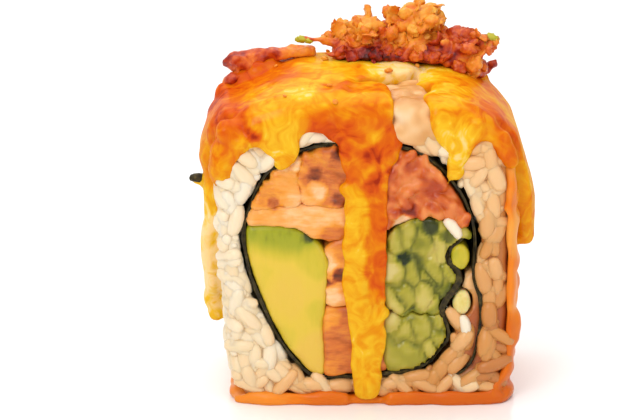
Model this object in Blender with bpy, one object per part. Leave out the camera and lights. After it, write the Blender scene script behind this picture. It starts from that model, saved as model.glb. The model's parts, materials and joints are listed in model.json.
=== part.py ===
"""One piece of uramaki roll, standing on its base with a cut side to the front.

Rice lies outside one sheet of nori, which is rolled a little more than once round the fillings.
Sauce covers the top, runs down the cut sides and drips at the flanks, and fried crumbs lie on it.
Frame: +X is right on the front cut, +Y is to the back, +Z is up. The origin is on the flat base,
under the middle of the piece. Everything is in metres.
"""

import math
import random

import bmesh
import bpy
from mathutils import Matrix, Vector, noise

MM = 0.001

# The slice of rice.
DEPTH = 25 * MM
HALF_WIDTH = 20.1 * MM
TOP = 43.2 * MM
BASE = 1.3 * MM
WIDEST = 20 * MM
SHOULDER = 4.5
FOOT = 8
FOOT_SINK = 0.7 * MM
LEFT_TAPER = 0.09
TAPER_FROM = 30 * MM
EDGE_ROUND = 1.0 * MM

# What every piece keeps to its neighbour, and how far cutters run past what they cut.
GAP = 0.3 * MM
OVERCUT = 3 * MM

# The nori and its route, in the plane of the cut, from its inner end to its outer end.
NORI = 0.6 * MM
NORI_ROUTE = [
    (13.9, 24.4), (11.6, 21.7), (13.3, 18.3), (10.9, 14.0), (12.0, 10.4), (10.4, 7.3),
    (7.2, 5.0), (2.0, 4.3), (-3.5, 3.7), (-7.0, 3.7), (-9.4, 5.9), (-12.1, 9.6), (-14.7, 15.2),
    (-16.6, 21.0), (-17.1, 26.0), (-15.3, 31.0), (-12.3, 34.8), (-7.0, 37.4), (0.0, 38.0),
    (6.0, 37.2), (9.8, 35.2), (12.4, 32.2), (14.6, 28.5), (15.6, 24.0), (15.3, 20.0),
    (16.3, 15.6), (16.2, 10.8), (15.5, 6.9), (13.8, 4.5), (11.4, 3.5),
]
NECK_INNER = 2
NECK_OUTER = 24
LOOP_END = 23

# Cooked rice grains, and the part of one that stands out of the packed rice.
GRAIN_LENGTH = 5.0 * MM
GRAIN_THICK = 2.4 * MM
GRAIN_PROUD = 0.30
GRAIN_SPACING = 3.3 * MM
GRAIN_TRIES = 900

# Sauce, from a squeezed bottle, and the pool of it that the roll stands in.
SAUCE = 1.3 * MM
CROWN = 1.0 * MM
COAT = 1.0 * MM
DRIP = 2.6 * MM
POOL = 1.0 * MM
POOL_RIM = 1.9 * MM
POOL_REACH = 1.2 * MM
SAUCE_CELL = 3.0 * MM

# The heap of fried crumbs: its lumps as x, y, radius and height in mm, and the flakes on it.
HEAP = 2.2 * MM
LUMPS = [(-0.2, 8.0, 2.9, 5.0), (3.8, 7.6, 2.9, 3.4), (7.8, 8.0, 3.4, 6.6), (10.8, 8.6, 2.6, 3.6),
         (14.2, 7.4, 3.2, 4.6)]
FLAKES = 34
FLAKE_THICK = 0.8 * MM
STRIP = 1.5 * MM
CHILLI = 3.2 * MM
STRIP_SPREAD = 1.0 * MM
STRIP_LIFT = 1.6 * MM

STEPS = 3
DENSE = 720


def clear_scene():
    for obj in list(bpy.data.objects):
        bpy.data.objects.remove(obj)


def material(name, colour, roughness):
    made = bpy.data.materials.new(name)
    made.use_nodes = True
    shader = made.node_tree.nodes["Principled BSDF"]
    shader.inputs["Base Color"].default_value = (*colour, 1)
    shader.inputs["Roughness"].default_value = roughness
    return made


# Outlines in the plane of the cut: lists of (x, z) points.

def in_metres(points):
    return [Vector((x * MM, z * MM)) for x, z in points]


def spline(points, closed=True, steps=STEPS):
    """A smooth curve through the points, with steps stretches between each two of them."""
    count = len(points)
    curve = []
    for i in range(count if closed else count - 1):
        if closed:
            a, b, c, d = (points[(i + k) % count] for k in (-1, 0, 1, 2))
        else:
            a, b, c, d = (points[min(max(i + k, 0), count - 1)] for k in (-1, 0, 1, 2))
        for s in range(steps):
            t = s / steps
            curve.append(
                0.5 * (2 * b + (c - a) * t + (2 * a - 5 * b + 4 * c - d) * t ** 2
                       + (3 * b - a - 3 * c + d) * t ** 3)
            )
    if not closed:
        curve.append(points[-1].copy())
    return curve


def moved_sideways(points, distance, closed=False):
    """The line moved to the left of the way that it runs, which is outwards on a clockwise one."""
    count = len(points)
    moved = []
    for i, point in enumerate(points):
        if closed:
            along = points[(i + 1) % count] - points[i - 1]
        else:
            along = points[min(i + 1, count - 1)] - points[max(i - 1, 0)]
        along.normalize()
        moved.append(point + distance * Vector((-along.y, along.x)))
    return moved


def evenly(points, count):
    """A closed outline again, as count points at equal steps."""
    ends = points + points[:1]
    lengths = [(b - a).length for a, b in zip(ends, ends[1:])]
    step = sum(lengths) / count
    found = []
    travelled = 0.0
    for a, b, length in zip(ends, ends[1:], lengths):
        while len(found) * step < travelled + length and len(found) < count:
            found.append(a.lerp(b, (len(found) * step - travelled) / length))
        travelled += length
    return found


def signed_power(value, power):
    return math.copysign(abs(value) ** power, value)


def rice_outline():
    """The slice's outline, clockwise from the middle of its top: a squarish arch on a flat foot."""
    points = []
    for i in range(4 * DENSE):
        turn = math.tau * i / (4 * DENSE)
        up = math.cos(turn) >= 0
        power = SHOULDER if up else FOOT
        reach = TOP - WIDEST if up else WIDEST - BASE + FOOT_SINK
        x = HALF_WIDTH * signed_power(math.sin(turn), 2 / power)
        z = WIDEST + reach * signed_power(math.cos(turn), 2 / power)
        z = max(z, BASE)
        if x < 0:
            low = min(max((TAPER_FROM - z) / (TAPER_FROM - BASE), 0), 1)
            x *= 1 - LEFT_TAPER * low
        points.append(Vector((x, z)))
    return evenly(points, DENSE)


OUTLINE = rice_outline()
NORMALS = [n - p for n, p in zip(moved_sideways(OUTLINE, 1, closed=True), OUTLINE)]
GIRTH = sum((b - a).length for a, b in zip(OUTLINE, OUTLINE[1:] + OUTLINE[:1]))
UPPER = [i for i, p in enumerate(OUTLINE) if p.y > 36 * MM or p.y > WIDEST and abs(p.x) < 17 * MM]
ROUTE = in_metres(NORI_ROUTE)
NORI_LINE = spline(ROUTE, closed=False)


# Sauce lies on the slice like a cloth. A place on it is (u, v): u runs along the outline, from the
# top's middle to the right, and v runs from front to back, with the rest past DEPTH / 2 going
# round the edge and down the cut side.

FLAT = DEPTH / 2 - EDGE_ROUND
BEND = EDGE_ROUND * math.pi / 2
PLUMB_TO = 9 * MM
LEANING_FROM = 17 * MM


def around(index):
    """How far along the outline a point of it is, from -GIRTH / 2 to GIRTH / 2."""
    share = index / DENSE
    return (share - 1 if share > 0.5 else share) * GIRTH


def on_outline(u):
    place = (u / GIRTH) % 1 * DENSE
    low = int(place)
    part = place - low
    return (OUTLINE[low % DENSE].lerp(OUTLINE[(low + 1) % DENSE], part),
            NORMALS[low % DENSE].lerp(NORMALS[(low + 1) % DENSE], part).normalized())


def smooth_share(value, low, high):
    share = min(max((value - low) / (high - low), 0), 1)
    return share * share * (3 - 2 * share)


def upwards(spot, normal):
    """The way against which sauce runs down a cut: plumb in the middle, leaning at the sides."""
    lean = smooth_share(abs(spot.x), PLUMB_TO, LEANING_FROM)
    return Vector((0, math.copysign(1, normal.y))).lerp(normal, lean).normalized()


def on_top(x, y):
    nearest = min(UPPER, key=lambda i: abs(OUTLINE[i].x - x * MM))
    return Vector((around(nearest), y * MM))


def on_flank(side, z, y):
    """A place on the left (-1) or right (1) flank, at height z."""
    flank = [i for i in range(DENSE) if side * OUTLINE[i].x > HALF_WIDTH / 2]
    nearest = min(flank, key=lambda i: abs(OUTLINE[i].y - z * MM))
    return Vector((around(nearest), y * MM))


def on_cut(x, z, side=-1):
    """A place on the front (-1) or back (1) cut, below the part of the top that it hangs from."""
    point = Vector((x * MM, z * MM))
    above = [
        (i, upwards(OUTLINE[i], NORMALS[i])) for i in UPPER if abs(OUTLINE[i].x - point.x) < 5 * MM
    ]
    nearest, up = min(above, key=lambda pair: abs((point - OUTLINE[pair[0]]).cross(pair[1])))
    down = (OUTLINE[nearest] - point).dot(up)
    return Vector((around(nearest), side * (FLAT + BEND + down - EDGE_ROUND)))


def on_slice(u, v, height):
    """The point at that height over the place (u, v) of the slice."""
    spot, normal = on_outline(u)
    side = math.copysign(1, v)
    past = abs(v) - FLAT
    if past <= 0:
        spot = spot + normal * height
        return Vector((spot.x, v, spot.y))
    turn = min(past / EDGE_ROUND, math.pi / 2)
    down = EDGE_ROUND * (1 - math.cos(turn)) + max(past - BEND, 0)
    outwards = FLAT + (EDGE_ROUND + height) * math.sin(turn)
    spot = spot + normal * height * math.cos(turn) - upwards(spot, normal) * down
    return Vector((spot.x, side * outwards, spot.y))


def inside(outline, place):
    hits = False
    for a, b in zip(outline, outline[1:] + outline[:1]):
        if (a.y > place.y) != (b.y > place.y):
            if place.x < a.x + (place.y - a.y) / (b.y - a.y) * (b.x - a.x):
                hits = not hits
    return hits


def to_edge(outline, place):
    """The distance from a place to the outline's nearest edge."""
    best = math.inf
    for a, b in zip(outline, outline[1:] + outline[:1]):
        along = b - a
        share = min(max((place - a).dot(along) / along.length_squared, 0), 1)
        best = min(best, (place - a - along * share).length)
    return best


# The sauces' outlines on the slice. Each is a smooth closed line through the places named here.

YELLOW_LEFT = spline([
    on_top(-16.6, -11), on_cut(-15.4, 39.4), on_cut(-13.6, 36.6), on_cut(-12.0, 34.3),
    on_cut(-10.0, 35.6), on_cut(-8.8, 39.6), on_cut(-5.6, 39.9), on_top(-4.4, -11.4),
    on_top(-4.2, -7.4), on_top(-1.5, -3.6), on_top(1.6, -1.4), on_top(5.4, 0.4),
    on_top(7.7, 3.4), on_top(7.6, 10.8), on_cut(6.0, 39.4, 1), on_cut(3.0, 38.4, 1),
    on_cut(1.0, 33, 1), on_cut(-1.4, 30.5, 1), on_cut(-3.4, 34, 1),
    on_cut(-5.4, 39.6, 1), on_cut(-10.0, 39.2, 1), on_cut(-12.4, 36.2, 1), on_cut(-14.6, 38.6, 1),
    on_top(-16.8, 10), on_flank(-1, 36, 6.2), on_flank(-1, 28, 5.2), on_flank(-1, 18, 4.6),
    on_flank(-1, 12.4, 1.2), on_flank(-1, 15.6, -2.8), on_flank(-1, 26, -4.4),
    on_flank(-1, 35, -5.0),
])
YELLOW_RIGHT = spline([
    on_top(9.4, -6), on_top(9.0, -11), on_cut(10.0, 38.6), on_cut(11.4, 34.0), on_cut(12.7, 32.2),
    on_cut(13.8, 34.0), on_cut(15.0, 37.4), on_top(17.0, -10.8), on_flank(1, 36, -9.2),
    on_flank(1, 29, -8.6), on_flank(1, 21.8, -6.4), on_flank(1, 24.2, -3.2),
    on_flank(1, 32, -1.6), on_flank(1, 36.4, 2.0), on_flank(1, 31.0, 5.2), on_flank(1, 33.0, 8.6),
    on_top(16.8, 11), on_cut(15.2, 37.4, 1), on_cut(12.4, 33.6, 1), on_cut(10.2, 37.6, 1),
    on_top(8.6, 8), on_top(9.2, 0),
])
ORANGE_RUN = spline([
    on_top(-2.4, -7.4), on_top(0.4, -4.2), on_top(3.4, -6.2), on_cut(3.7, 40.4),
    on_cut(3.6, 35.4), on_cut(3.1, 30), on_cut(3.2, 23), on_cut(3.2, 17), on_cut(2.1, 14.2),
    on_cut(1.0, 17), on_cut(0.9, 25), on_cut(0.4, 31.0), on_cut(-1.8, 32.4), on_cut(-3.6, 35.5),
    on_cut(-3.4, 40.6),
])
YELLOW_STRIPE = spline([
    on_cut(-2.6, 30.4), on_cut(-1.2, 31.2), on_cut(0.2, 29.6), on_cut(0.4, 22), on_cut(0.4, 15.6),
    on_cut(1.4, 13.2), on_cut(2.7, 11.6), on_cut(2.5, 6), on_cut(2.1, 1.6), on_cut(0.4, 0.9),
    on_cut(-1.2, 1.6), on_cut(-1.6, 6), on_cut(-2.2, 12), on_cut(-3.0, 18), on_cut(-2.9, 26),
])
ORANGE_SHOULDER = spline([
    on_flank(-1, 36.4, -7.4), on_flank(-1, 33.4, -6.6), on_flank(-1, 31.0, -8.6),
    on_flank(-1, 32, -11.2), on_cut(-18.2, 34.6), on_cut(-17.2, 36.2), on_cut(-17.4, 37.8),
    on_flank(-1, 37.4, -9.8),
])
ORANGE_FLANK = spline([
    on_flank(1, 34.2, -11.6), on_flank(1, 35.6, -4), on_flank(1, 33.4, 4), on_flank(1, 34.8, 11.6),
    on_flank(1, 20, 12.2), on_flank(1, 6, 12.2), on_flank(1, 1.7, 11.8), on_flank(1, 1.6, 0),
    on_flank(1, 1.7, -11.8), on_flank(1, 6, -12.2), on_flank(1, 20, -12.2),
])
CRUMB_PATCH = spline([
    on_top(-4.6, 7.6), on_top(-3.4, 4.8), on_top(2.5, 4.2), on_top(8, 3.8), on_top(13.0, 3.4),
    on_top(15.2, 4.4), on_top(15.8, 7.2), on_top(14.0, 10.4), on_top(8, 11.6), on_top(0, 11.4),
    on_top(-3.8, 10.2),
])
LEFT_HANG = -on_top(-14.0, 0).x, -on_flank(-1, 38.0, 0).x
RIGHT_HANG = on_flank(1, 36.5, 0).x, on_flank(1, 28.0, 0).x
FLANK_START = on_top(15.4, 0).x
FLANK_FULL = on_flank(1, 37.4, 0).x


def on_rice(u, v):
    return GAP


def on_coat(u, v):
    """The height at which the right sauce lies: on the rice, and on the coat at the flank."""
    share = smooth_share(u, FLANK_START, FLANK_FULL) * smooth_share(-abs(v), -14.2 * MM, -12.7 * MM)
    return GAP + share * (COAT + GAP)


def add_object(name, mesh, look):
    obj = bpy.data.objects.new(name, mesh)
    bpy.context.scene.collection.objects.link(obj)
    mesh.materials.clear()
    if look:
        mesh.materials.append(look)
    return obj


def mesh_of(name, bm):
    bmesh.ops.recalc_face_normals(bm, faces=bm.faces[:])
    mesh = bpy.data.meshes.new(name)
    bm.to_mesh(mesh)
    bm.free()
    return mesh


def prism(name, outline, look=None, front=-DEPTH / 2, back=DEPTH / 2, rounding=0.0):
    """An outline of the cut, run from front to back, with its rims rounded where that is asked."""
    bm = bmesh.new()
    face = bm.faces.new([bm.verts.new((p.x, front, p.y)) for p in outline])
    run = bmesh.ops.extrude_face_region(bm, geom=[face])["geom"]
    bmesh.ops.translate(
        bm, verts=[e for e in run if isinstance(e, bmesh.types.BMVert)], vec=(0, back - front, 0)
    )
    if rounding:
        rims = [e for e in bm.edges if abs(e.verts[0].co.y - e.verts[1].co.y) < 0.01 * MM]
        bmesh.ops.bevel(
            bm, geom=rims, offset=rounding, segments=2, profile=0.5, affect="EDGES", material=-1
        )
    return add_object(name, mesh_of(name, bm), look)


def cutter(name, outline, front=-DEPTH / 2 - OVERCUT, back=DEPTH / 2 + OVERCUT):
    tool = prism(name, outline, front=front, back=back)
    tool.hide_render = True
    tool.display_type = "WIRE"
    return tool


def cut(obj, tool, operation="DIFFERENCE"):
    step = obj.modifiers.new(tool.name, "BOOLEAN")
    step.object = tool
    step.operation = operation


def bake_modifiers(obj):
    graph = bpy.context.evaluated_depsgraph_get()
    mesh = bpy.data.meshes.new_from_object(obj.evaluated_get(graph))
    obj.modifiers.clear()
    obj.data = mesh


def keep_largest(mesh):
    """Drops the tiny hollows that a union can close in, and leaves the one body round them."""
    bm = bmesh.new()
    bm.from_mesh(mesh)
    left = set(bm.faces)
    islands = []
    while left:
        reached = [left.pop()]
        for face in reached:
            for edge in face.edges:
                near = [f for f in edge.link_faces if f in left]
                left.difference_update(near)
                reached.extend(near)
        islands.append(reached)
    islands.sort(key=len)
    for island in islands[:-1]:
        bmesh.ops.delete(bm, geom=island, context="FACES")
    bm.to_mesh(mesh)
    bm.free()


def fuse(obj, pieces):
    """Joins the pieces to obj in one union, and removes them."""
    group = bpy.data.collections.new(obj.name + "_pieces")
    bpy.context.scene.collection.children.link(group)
    for piece in pieces:
        bpy.context.scene.collection.objects.unlink(piece)
        group.objects.link(piece)
    step = obj.modifiers.new("fuse", "BOOLEAN")
    step.operation = "UNION"
    step.operand_type = "COLLECTION"
    step.collection = group
    step.solver = "MANIFOLD"
    bake_modifiers(obj)
    keep_largest(obj.data)
    for piece in pieces:
        bpy.data.objects.remove(piece)
    bpy.data.collections.remove(group)


def grid_lines(reach, cell):
    count = int(reach / cell)
    return [k * cell for k in range(-count, count + 1)]


def edge_lines(cell):
    """Lines across a sheet from front to back: even ones, with three in each bend over an edge."""
    bends = [FLAT, FLAT + BEND / 2, FLAT + BEND]
    below = [FLAT + BEND + k * cell for k in range(1, 14)]
    sides = [side * v for side in (-1, 1) for v in bends + below]
    return sides + [v for v in grid_lines(FLAT, cell) if abs(v) < FLAT - cell / 3]


def swollen(u, v):
    """Sauce is crowned on the top, thickest where it hangs at a flank and thinnest on the cuts."""
    start, full = RIGHT_HANG if u > 0 else LEFT_HANG
    hanging = smooth_share(abs(u), start, full)
    crowned = (1 - smooth_share(abs(u), 9 * MM, start)) * smooth_share(v, -FLAT, 3 * MM)
    cut_side = smooth_share(abs(v), FLAT, FLAT + BEND)
    extra = (DRIP - SAUCE) * hanging + CROWN * crowned
    return SAUCE + extra * (1 - cut_side) - 0.2 * MM * cut_side


def sheet(name, outline, look, thickness, rest=on_rice, swell=None, cell=SAUCE_CELL):
    """A sheet of sauce over the slice inside the outline, flat below and rounded at its rim.

    rest gives the height of its underside, and swell its thickness in place of the even one.
    """
    bm = bmesh.new()
    bm.faces.new([bm.verts.new((p.x, p.y, 0)) for p in outline])
    for axis, lines in ((0, grid_lines(GIRTH / 2, cell)), (1, edge_lines(cell))):
        for line in lines:
            at = Vector((0, 0, 0))
            at[axis] = line
            across = Vector((0, 0, 0))
            across[axis] = 1
            bmesh.ops.bisect_plane(
                bm, geom=bm.verts[:] + bm.edges[:] + bm.faces[:], plane_co=at, plane_no=across,
                dist=0.2 * MM,
            )
    bmesh.ops.inset_region(bm, faces=bm.faces[:], thickness=0.5 * SAUCE, use_even_offset=True)
    run = bmesh.ops.extrude_face_region(bm, geom=bm.faces[:])["geom"]
    upper = {e for e in run if isinstance(e, bmesh.types.BMVert)}
    bmesh.ops.triangulate(bm, faces=bm.faces[:])
    for vert in bm.verts:
        u, v = vert.co.x, vert.co.y
        height = rest(u, v)
        if vert in upper:
            to_rim = to_edge(outline, Vector((u, v)))
            full = swell(u, v) if swell else thickness
            share = min(to_rim / SAUCE + 0.35, 1)
            height += full * math.sqrt(1 - (1 - share) ** 2)
        vert.co = on_slice(u, v, height)
    return add_object(name, mesh_of(name, bm), look)


def grain(centre, along, out, length=GRAIN_LENGTH, thick=GRAIN_THICK):
    """One grain of about thirty triangles, lying along one direction with another one up."""
    bm = bmesh.new()
    bmesh.ops.create_uvsphere(bm, u_segments=5, v_segments=4, radius=0.5)
    bmesh.ops.scale(bm, verts=bm.verts, vec=(thick, thick, length))
    turn = along.rotation_difference(Vector((0, 0, 1))).inverted().to_matrix()
    bmesh.ops.rotate(bm, verts=bm.verts, matrix=turn)
    bmesh.ops.translate(bm, verts=bm.verts, vec=centre + out * (GRAIN_PROUD - 0.5) * thick)
    return add_object("grain", mesh_of("grain", bm), None)


def band(inner_side, outer_side, first, last):
    """The outline between two lines beside the nori, from one of its route points to another."""
    part = NORI_LINE[first * STEPS:last * STEPS + 1]
    return moved_sideways(part, outer_side) + moved_sideways(part, inner_side)[::-1]


def nori_hole():
    """What the rice leaves free: the fillings and the nori. The rice between the two layers of
    nori, up to the neck, is left standing."""
    off = NORI / 2 + GAP
    outer = moved_sideways(NORI_LINE, off)[NECK_INNER * STEPS:]
    past_end = [NORI_LINE[-1] + (NORI_LINE[-1] - NORI_LINE[-2]).normalized() * off]
    inner = moved_sideways(NORI_LINE, -off)[NECK_OUTER * STEPS:][::-1]
    return outer + past_end + inner


def filling_room():
    """The outline that the fillings are pressed into: the inner side of the nori's first turn."""
    off = NORI / 2 + GAP
    return moved_sideways(NORI_LINE, -off)[:LOOP_END * STEPS + 1]


# The fillings' outlines. They are trimmed to the room inside the nori, and each to those before it.

FILLINGS = {
    "avocado": [(-20, 24.4), (-14.4, 26.0), (-10.4, 25.6), (-7.6, 24.2), (-5.5, 21.6), (-5.4, 17),
                (-5.9, 12), (-5.8, 7), (-6.2, 1), (-12, 1), (-21, 10)],
    "cucumber": [(3.2, 23.8), (5.0, 25.9), (8.0, 27.0), (11.2, 26.6), (15.0, 24.6), (15.5, 18),
                 (12.5, 13.6), (8.0, 13.2), (3.4, 14.4), (2.8, 19)],
    "cucumber_lower": [(3.0, 12.6), (7.8, 12.6), (13, 12.4), (14, 8), (12, 3), (5, 3), (3.3, 5)],
    "salmon_right": [(-8.6, 29.9), (-9.2, 33.4), (-8.0, 37.0), (-4, 39.0), (-0.6, 39), (-0.5, 34),
               (-1.2, 29.6), (-5, 29.0)],
    "salmon_left": [(-17.5, 29.2), (-16.4, 34), (-11, 39), (-8.6, 38), (-9.6, 33.4), (-9.0, 29.4),
                 (-13, 28.8)],
    "crab_stick": [(-19, 26.2), (-17, 29.0), (-9, 28.8), (-1.3, 29.0), (-0.8, 26.6), (-3.6, 24.2),
                   (-7.2, 24.5), (-10.4, 25.9), (-14.4, 26.3)],
    "shrimp": [(-5.6, 22.4), (-3.6, 23.9), (-0.6, 26.2), (2.6, 24.6), (2.6, 18), (2.6, 14.6),
               (-2, 14.2), (-5.4, 14.8), (-5.1, 18)],
    "salmon_strip": [(-5.5, 14.2), (-2, 13.8), (2.8, 14.2), (2.9, 8), (3.1, 2), (-1, 1), (-5.9, 1),
                     (-5.5, 7)],
    "crab_mix": [(-0.2, 26.9), (-0.1, 34), (-0.2, 40), (8, 40), (14, 36), (17, 30), (17, 24.5),
                 (14.8, 25.2), (11.4, 27.0), (8.0, 27.4), (4.6, 26.3), (2.6, 25.6)],
}
SLIVERS = {
    "avocado_sliver": ((13.45, 21.5), 1.05, 1.7),
    "radish_sliver": ((13.75, 14.8), 1.0, 1.6),
}


def add_fillings(looks):
    room = cutter("room", filling_room())
    before = []
    for name, points in FILLINGS.items():
        outline = spline(in_metres(points))
        piece = prism(name, outline, looks[name])
        cut(piece, room, "INTERSECT")
        for tool in before:
            cut(piece, tool)
        before.append(cutter("round_" + name, moved_sideways(outline, GAP, closed=True)))
    for name in SLIVERS:
        prism(name, sliver_outline(name, 0), looks[name])


def sliver_outline(name, grown):
    (x, z), half_wide, half_high = SLIVERS[name]
    turns = [math.tau * i / 14 for i in range(14)]
    return [
        Vector((x * MM + (half_wide * MM + grown) * math.sin(t),
                z * MM + (half_high * MM + grown) * math.cos(t)))
        for t in turns
    ]


def lumps(rng):
    """Torn shreds that stand out of the crab mix at both cuts."""
    room = filling_room()
    edge = spline(in_metres(FILLINGS["crab_mix"]))
    made = []
    for side in (-1, 1):
        taken = []
        for _ in range(160):
            spot = Vector((rng.uniform(4.4, 13) * MM, rng.uniform(27, 36) * MM))
            clear = all((spot - other).length > 1.9 * MM for other in taken)
            if not clear or not inside(room, spot) or not inside(edge, spot):
                continue
            if min(to_edge(room, spot), to_edge(edge, spot)) < 1.3 * MM:
                continue
            taken.append(spot)
            turn = rng.uniform(0, math.pi)
            along = Vector((math.cos(turn), 0, math.sin(turn)))
            centre = Vector((spot.x, side * DEPTH / 2, spot.y))
            made.append(grain(centre, along, Vector((0, side, 0)), 2.2 * MM, 1.7 * MM))
    return made


COVERED = [YELLOW_LEFT, YELLOW_RIGHT, ORANGE_RUN, YELLOW_STRIPE, ORANGE_SHOULDER, ORANGE_FLANK]


def bare(place, margin=1.3 * MM):
    """True where no sauce lies on the slice, or comes near."""
    return all(
        not inside(outline, place) and to_edge(outline, place) > margin for outline in COVERED
    )


def cut_grains(side, hole, rng):
    """Grains on the front (-1) or back (1) cut, between the nori and the slice's outline."""
    rim = OUTLINE[::6]
    made, taken = [], []
    for _ in range(GRAIN_TRIES):
        spot = Vector((rng.uniform(-HALF_WIDTH, HALF_WIDTH), rng.uniform(BASE, TOP)))
        turn = rng.uniform(0, math.pi)
        lean = Vector((math.cos(turn), math.sin(turn)))
        tips = [spot + lean * k * GRAIN_LENGTH / 2 for k in (-0.8, 0, 0.8)]
        if any((spot - other).length < GRAIN_SPACING for other in taken):
            continue
        if inside(hole, spot) or to_edge(hole, spot) < 0.9 * MM:
            continue
        if not all(inside(rim, tip) and to_edge(rim, tip) > 1.0 * MM for tip in tips):
            continue
        if not all(bare(on_cut(tip.x / MM, tip.y / MM, side)) for tip in tips):
            continue
        taken.append(spot)
        along = Vector((lean.x, 0, lean.y))
        centre = Vector((spot.x, side * DEPTH / 2, spot.y))
        made.append(grain(centre, along, Vector((0, side, 0))))
    return made


def outer_grains(rng):
    """Grains on the slice's outside, where no sauce lies: the left flank and the top's channel."""
    made, taken = [], []
    for _ in range(GRAIN_TRIES):
        place = Vector((rng.uniform(-GIRTH / 2, GIRTH / 4), rng.uniform(-FLAT, FLAT) * 0.84))
        spot, normal = on_outline(place.x)
        turn = rng.uniform(0, math.pi)
        lean = Vector((math.cos(turn), math.sin(turn)))
        ends = [place + lean * k * GRAIN_LENGTH / 2 for k in (-0.9, 0, 0.9)]
        if any((place - other).length < 1.15 * GRAIN_SPACING for other in taken):
            continue
        if spot.y < 5 * MM or not all(bare(end) and abs(end.y) < FLAT for end in ends):
            continue
        taken.append(place)
        across = Vector((-normal.y, 0, normal.x))
        along = across * lean.x + Vector((0, lean.y, 0))
        centre = Vector((spot.x, place.y, spot.y))
        made.append(grain(centre, along, Vector((normal.x, 0, normal.y))))
    return made


def add_left_sauce(look):
    """The left sauce with its drip, and a black sesame seed that sticks out of the drip."""
    sauce = sheet("yellow_left", YELLOW_LEFT, look, SAUCE, swell=swollen)
    place = on_flank(-1, 29.2, 0.6)
    out = Vector((-1, 0, 0.12)).normalized()
    fuse(sauce, [grain(on_slice(*place, DRIP + 1.1 * MM), out, out, 3.2 * MM, 1.4 * MM)])


def add_rice(look, rng):
    hole = nori_hole()
    rice = prism("rice", OUTLINE[::6], look, rounding=EDGE_ROUND)
    cut(rice, cutter("hole", hole))
    bake_modifiers(rice)
    grains = cut_grains(-1, hole, rng) + cut_grains(1, hole, rng) + outer_grains(rng)
    fuse(rice, grains)
    cut(rice, cutter("trim", hole))
    name = "radish_sliver"
    cut(rice, cutter("round_" + name, sliver_outline(name, GAP)))
    bake_modifiers(rice)
    return rice


def pool_outline(reach):
    """The pool seen from above: the slice's foot grown by reach, uneven at its edge."""
    left = min(p.x for p in OUTLINE if p.y < 4 * MM)
    right = HALF_WIDTH
    middle = (left + right) / 2
    half = Vector(((right - left) / 2 + reach, DEPTH / 2 + reach))
    points = []
    for i in range(56):
        turn = math.tau * i / 56
        wave = 0.35 * MM * noise.noise(Vector((3 * math.cos(turn), 3 * math.sin(turn), 7)))
        points.append(Vector((
            middle + (half.x + wave) * signed_power(math.cos(turn), 0.22),
            (half.y + wave) * signed_power(math.sin(turn), 0.22),
        )))
    return points


def upright(name, outline, bottom, top, look=None, rounding=0.0):
    """An outline seen from above, run from one height to another, its upper rim rounded."""
    bm = bmesh.new()
    face = bm.faces.new([bm.verts.new((p.x, p.y, bottom)) for p in outline])
    run = bmesh.ops.extrude_face_region(bm, geom=[face])["geom"]
    bmesh.ops.translate(
        bm, verts=[e for e in run if isinstance(e, bmesh.types.BMVert)], vec=(0, 0, top - bottom)
    )
    if rounding:
        rim = [e for e in bm.edges if min(v.co.z for v in e.verts) > top - 0.01 * MM]
        bmesh.ops.bevel(
            bm, geom=rim, offset=rounding, segments=2, profile=0.5, affect="EDGES", material=-1
        )
    return add_object(name, mesh_of(name, bm), look)


def helper(obj):
    obj.hide_render = True
    obj.display_type = "WIRE"
    return obj


def box_outline(low_x, high_x, low_y, high_y):
    return [Vector((low_x, low_y)), Vector((low_x, high_y)),
            Vector((high_x, high_y)), Vector((high_x, low_y))]


def add_orange_coat(look):
    """The pool under the roll, its rim round the foot, and the sauce up the right flank."""
    pool = upright("orange_coat", pool_outline(POOL_REACH), 0, POOL_RIM, look, 0.7 * MM)
    foot = box_outline(-HALF_WIDTH, HALF_WIDTH + GAP, -DEPTH / 2 - GAP, DEPTH / 2 + GAP)
    cut(pool, helper(upright("foot", foot, POOL, 2 * POOL_RIM)))
    stripe = box_outline(-2.4 * MM, 3.3 * MM, -DEPTH, -DEPTH / 2 - GAP)
    cut(pool, helper(upright("stripe_notch", stripe, -POOL, 2 * POOL_RIM)))
    bake_modifiers(pool)
    flank = sheet("flank", ORANGE_FLANK, look, COAT)
    fuse(pool, [flank])
    return pool


def heap_height(u, v):
    """How high the crumbs lie at a place: a low heap with a few lumps on it."""
    spot = on_outline(u)[0]
    to_rim = min(to_edge(CRUMB_PATCH, Vector((u, v))) / (2 * MM), 1)
    height = HEAP * (0.8 + 0.4 * noise.noise(Vector((u, v, 0)) / (2.5 * MM)))
    for x, y, radius, top in LUMPS:
        off = Vector((spot.x / MM - x, v / MM - y)).length / radius
        if off < 1:
            height = max(height, HEAP + (top * MM - HEAP) * (1 - off ** 3))
    return height * (0.45 + 0.55 * to_rim)


def flake(centre, turn, length, width, curl):
    """One fried flake: a thin plate with a bent middle."""
    bm = bmesh.new()
    bmesh.ops.create_cube(bm, size=1)
    bmesh.ops.scale(bm, verts=bm.verts, vec=(length, width, FLAKE_THICK))
    long_edges = [e for e in bm.edges if abs(e.verts[0].co.x - e.verts[1].co.x) > length / 2]
    bmesh.ops.subdivide_edges(bm, edges=long_edges, cuts=1, use_grid_fill=True)
    for vert in bm.verts:
        share = 2 * vert.co.x / length
        vert.co.z -= curl * share * share
        vert.co.y *= 1 - 0.45 * share * share
    bmesh.ops.rotate(bm, verts=bm.verts, matrix=turn)
    bmesh.ops.translate(bm, verts=bm.verts, vec=centre)
    bmesh.ops.triangulate(bm, faces=bm.faces[:])
    return add_object("flake", mesh_of("flake", bm), None)


def over_rice(point):
    """How far a point is from the slice's outline."""
    flat = Vector((point.x, point.z))
    return min((flat - OUTLINE[i]).length for i in range(0, DENSE, 4))


def on_sauce(u, v):
    return on_coat(u, v) + swollen(u, v) + GAP


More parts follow.
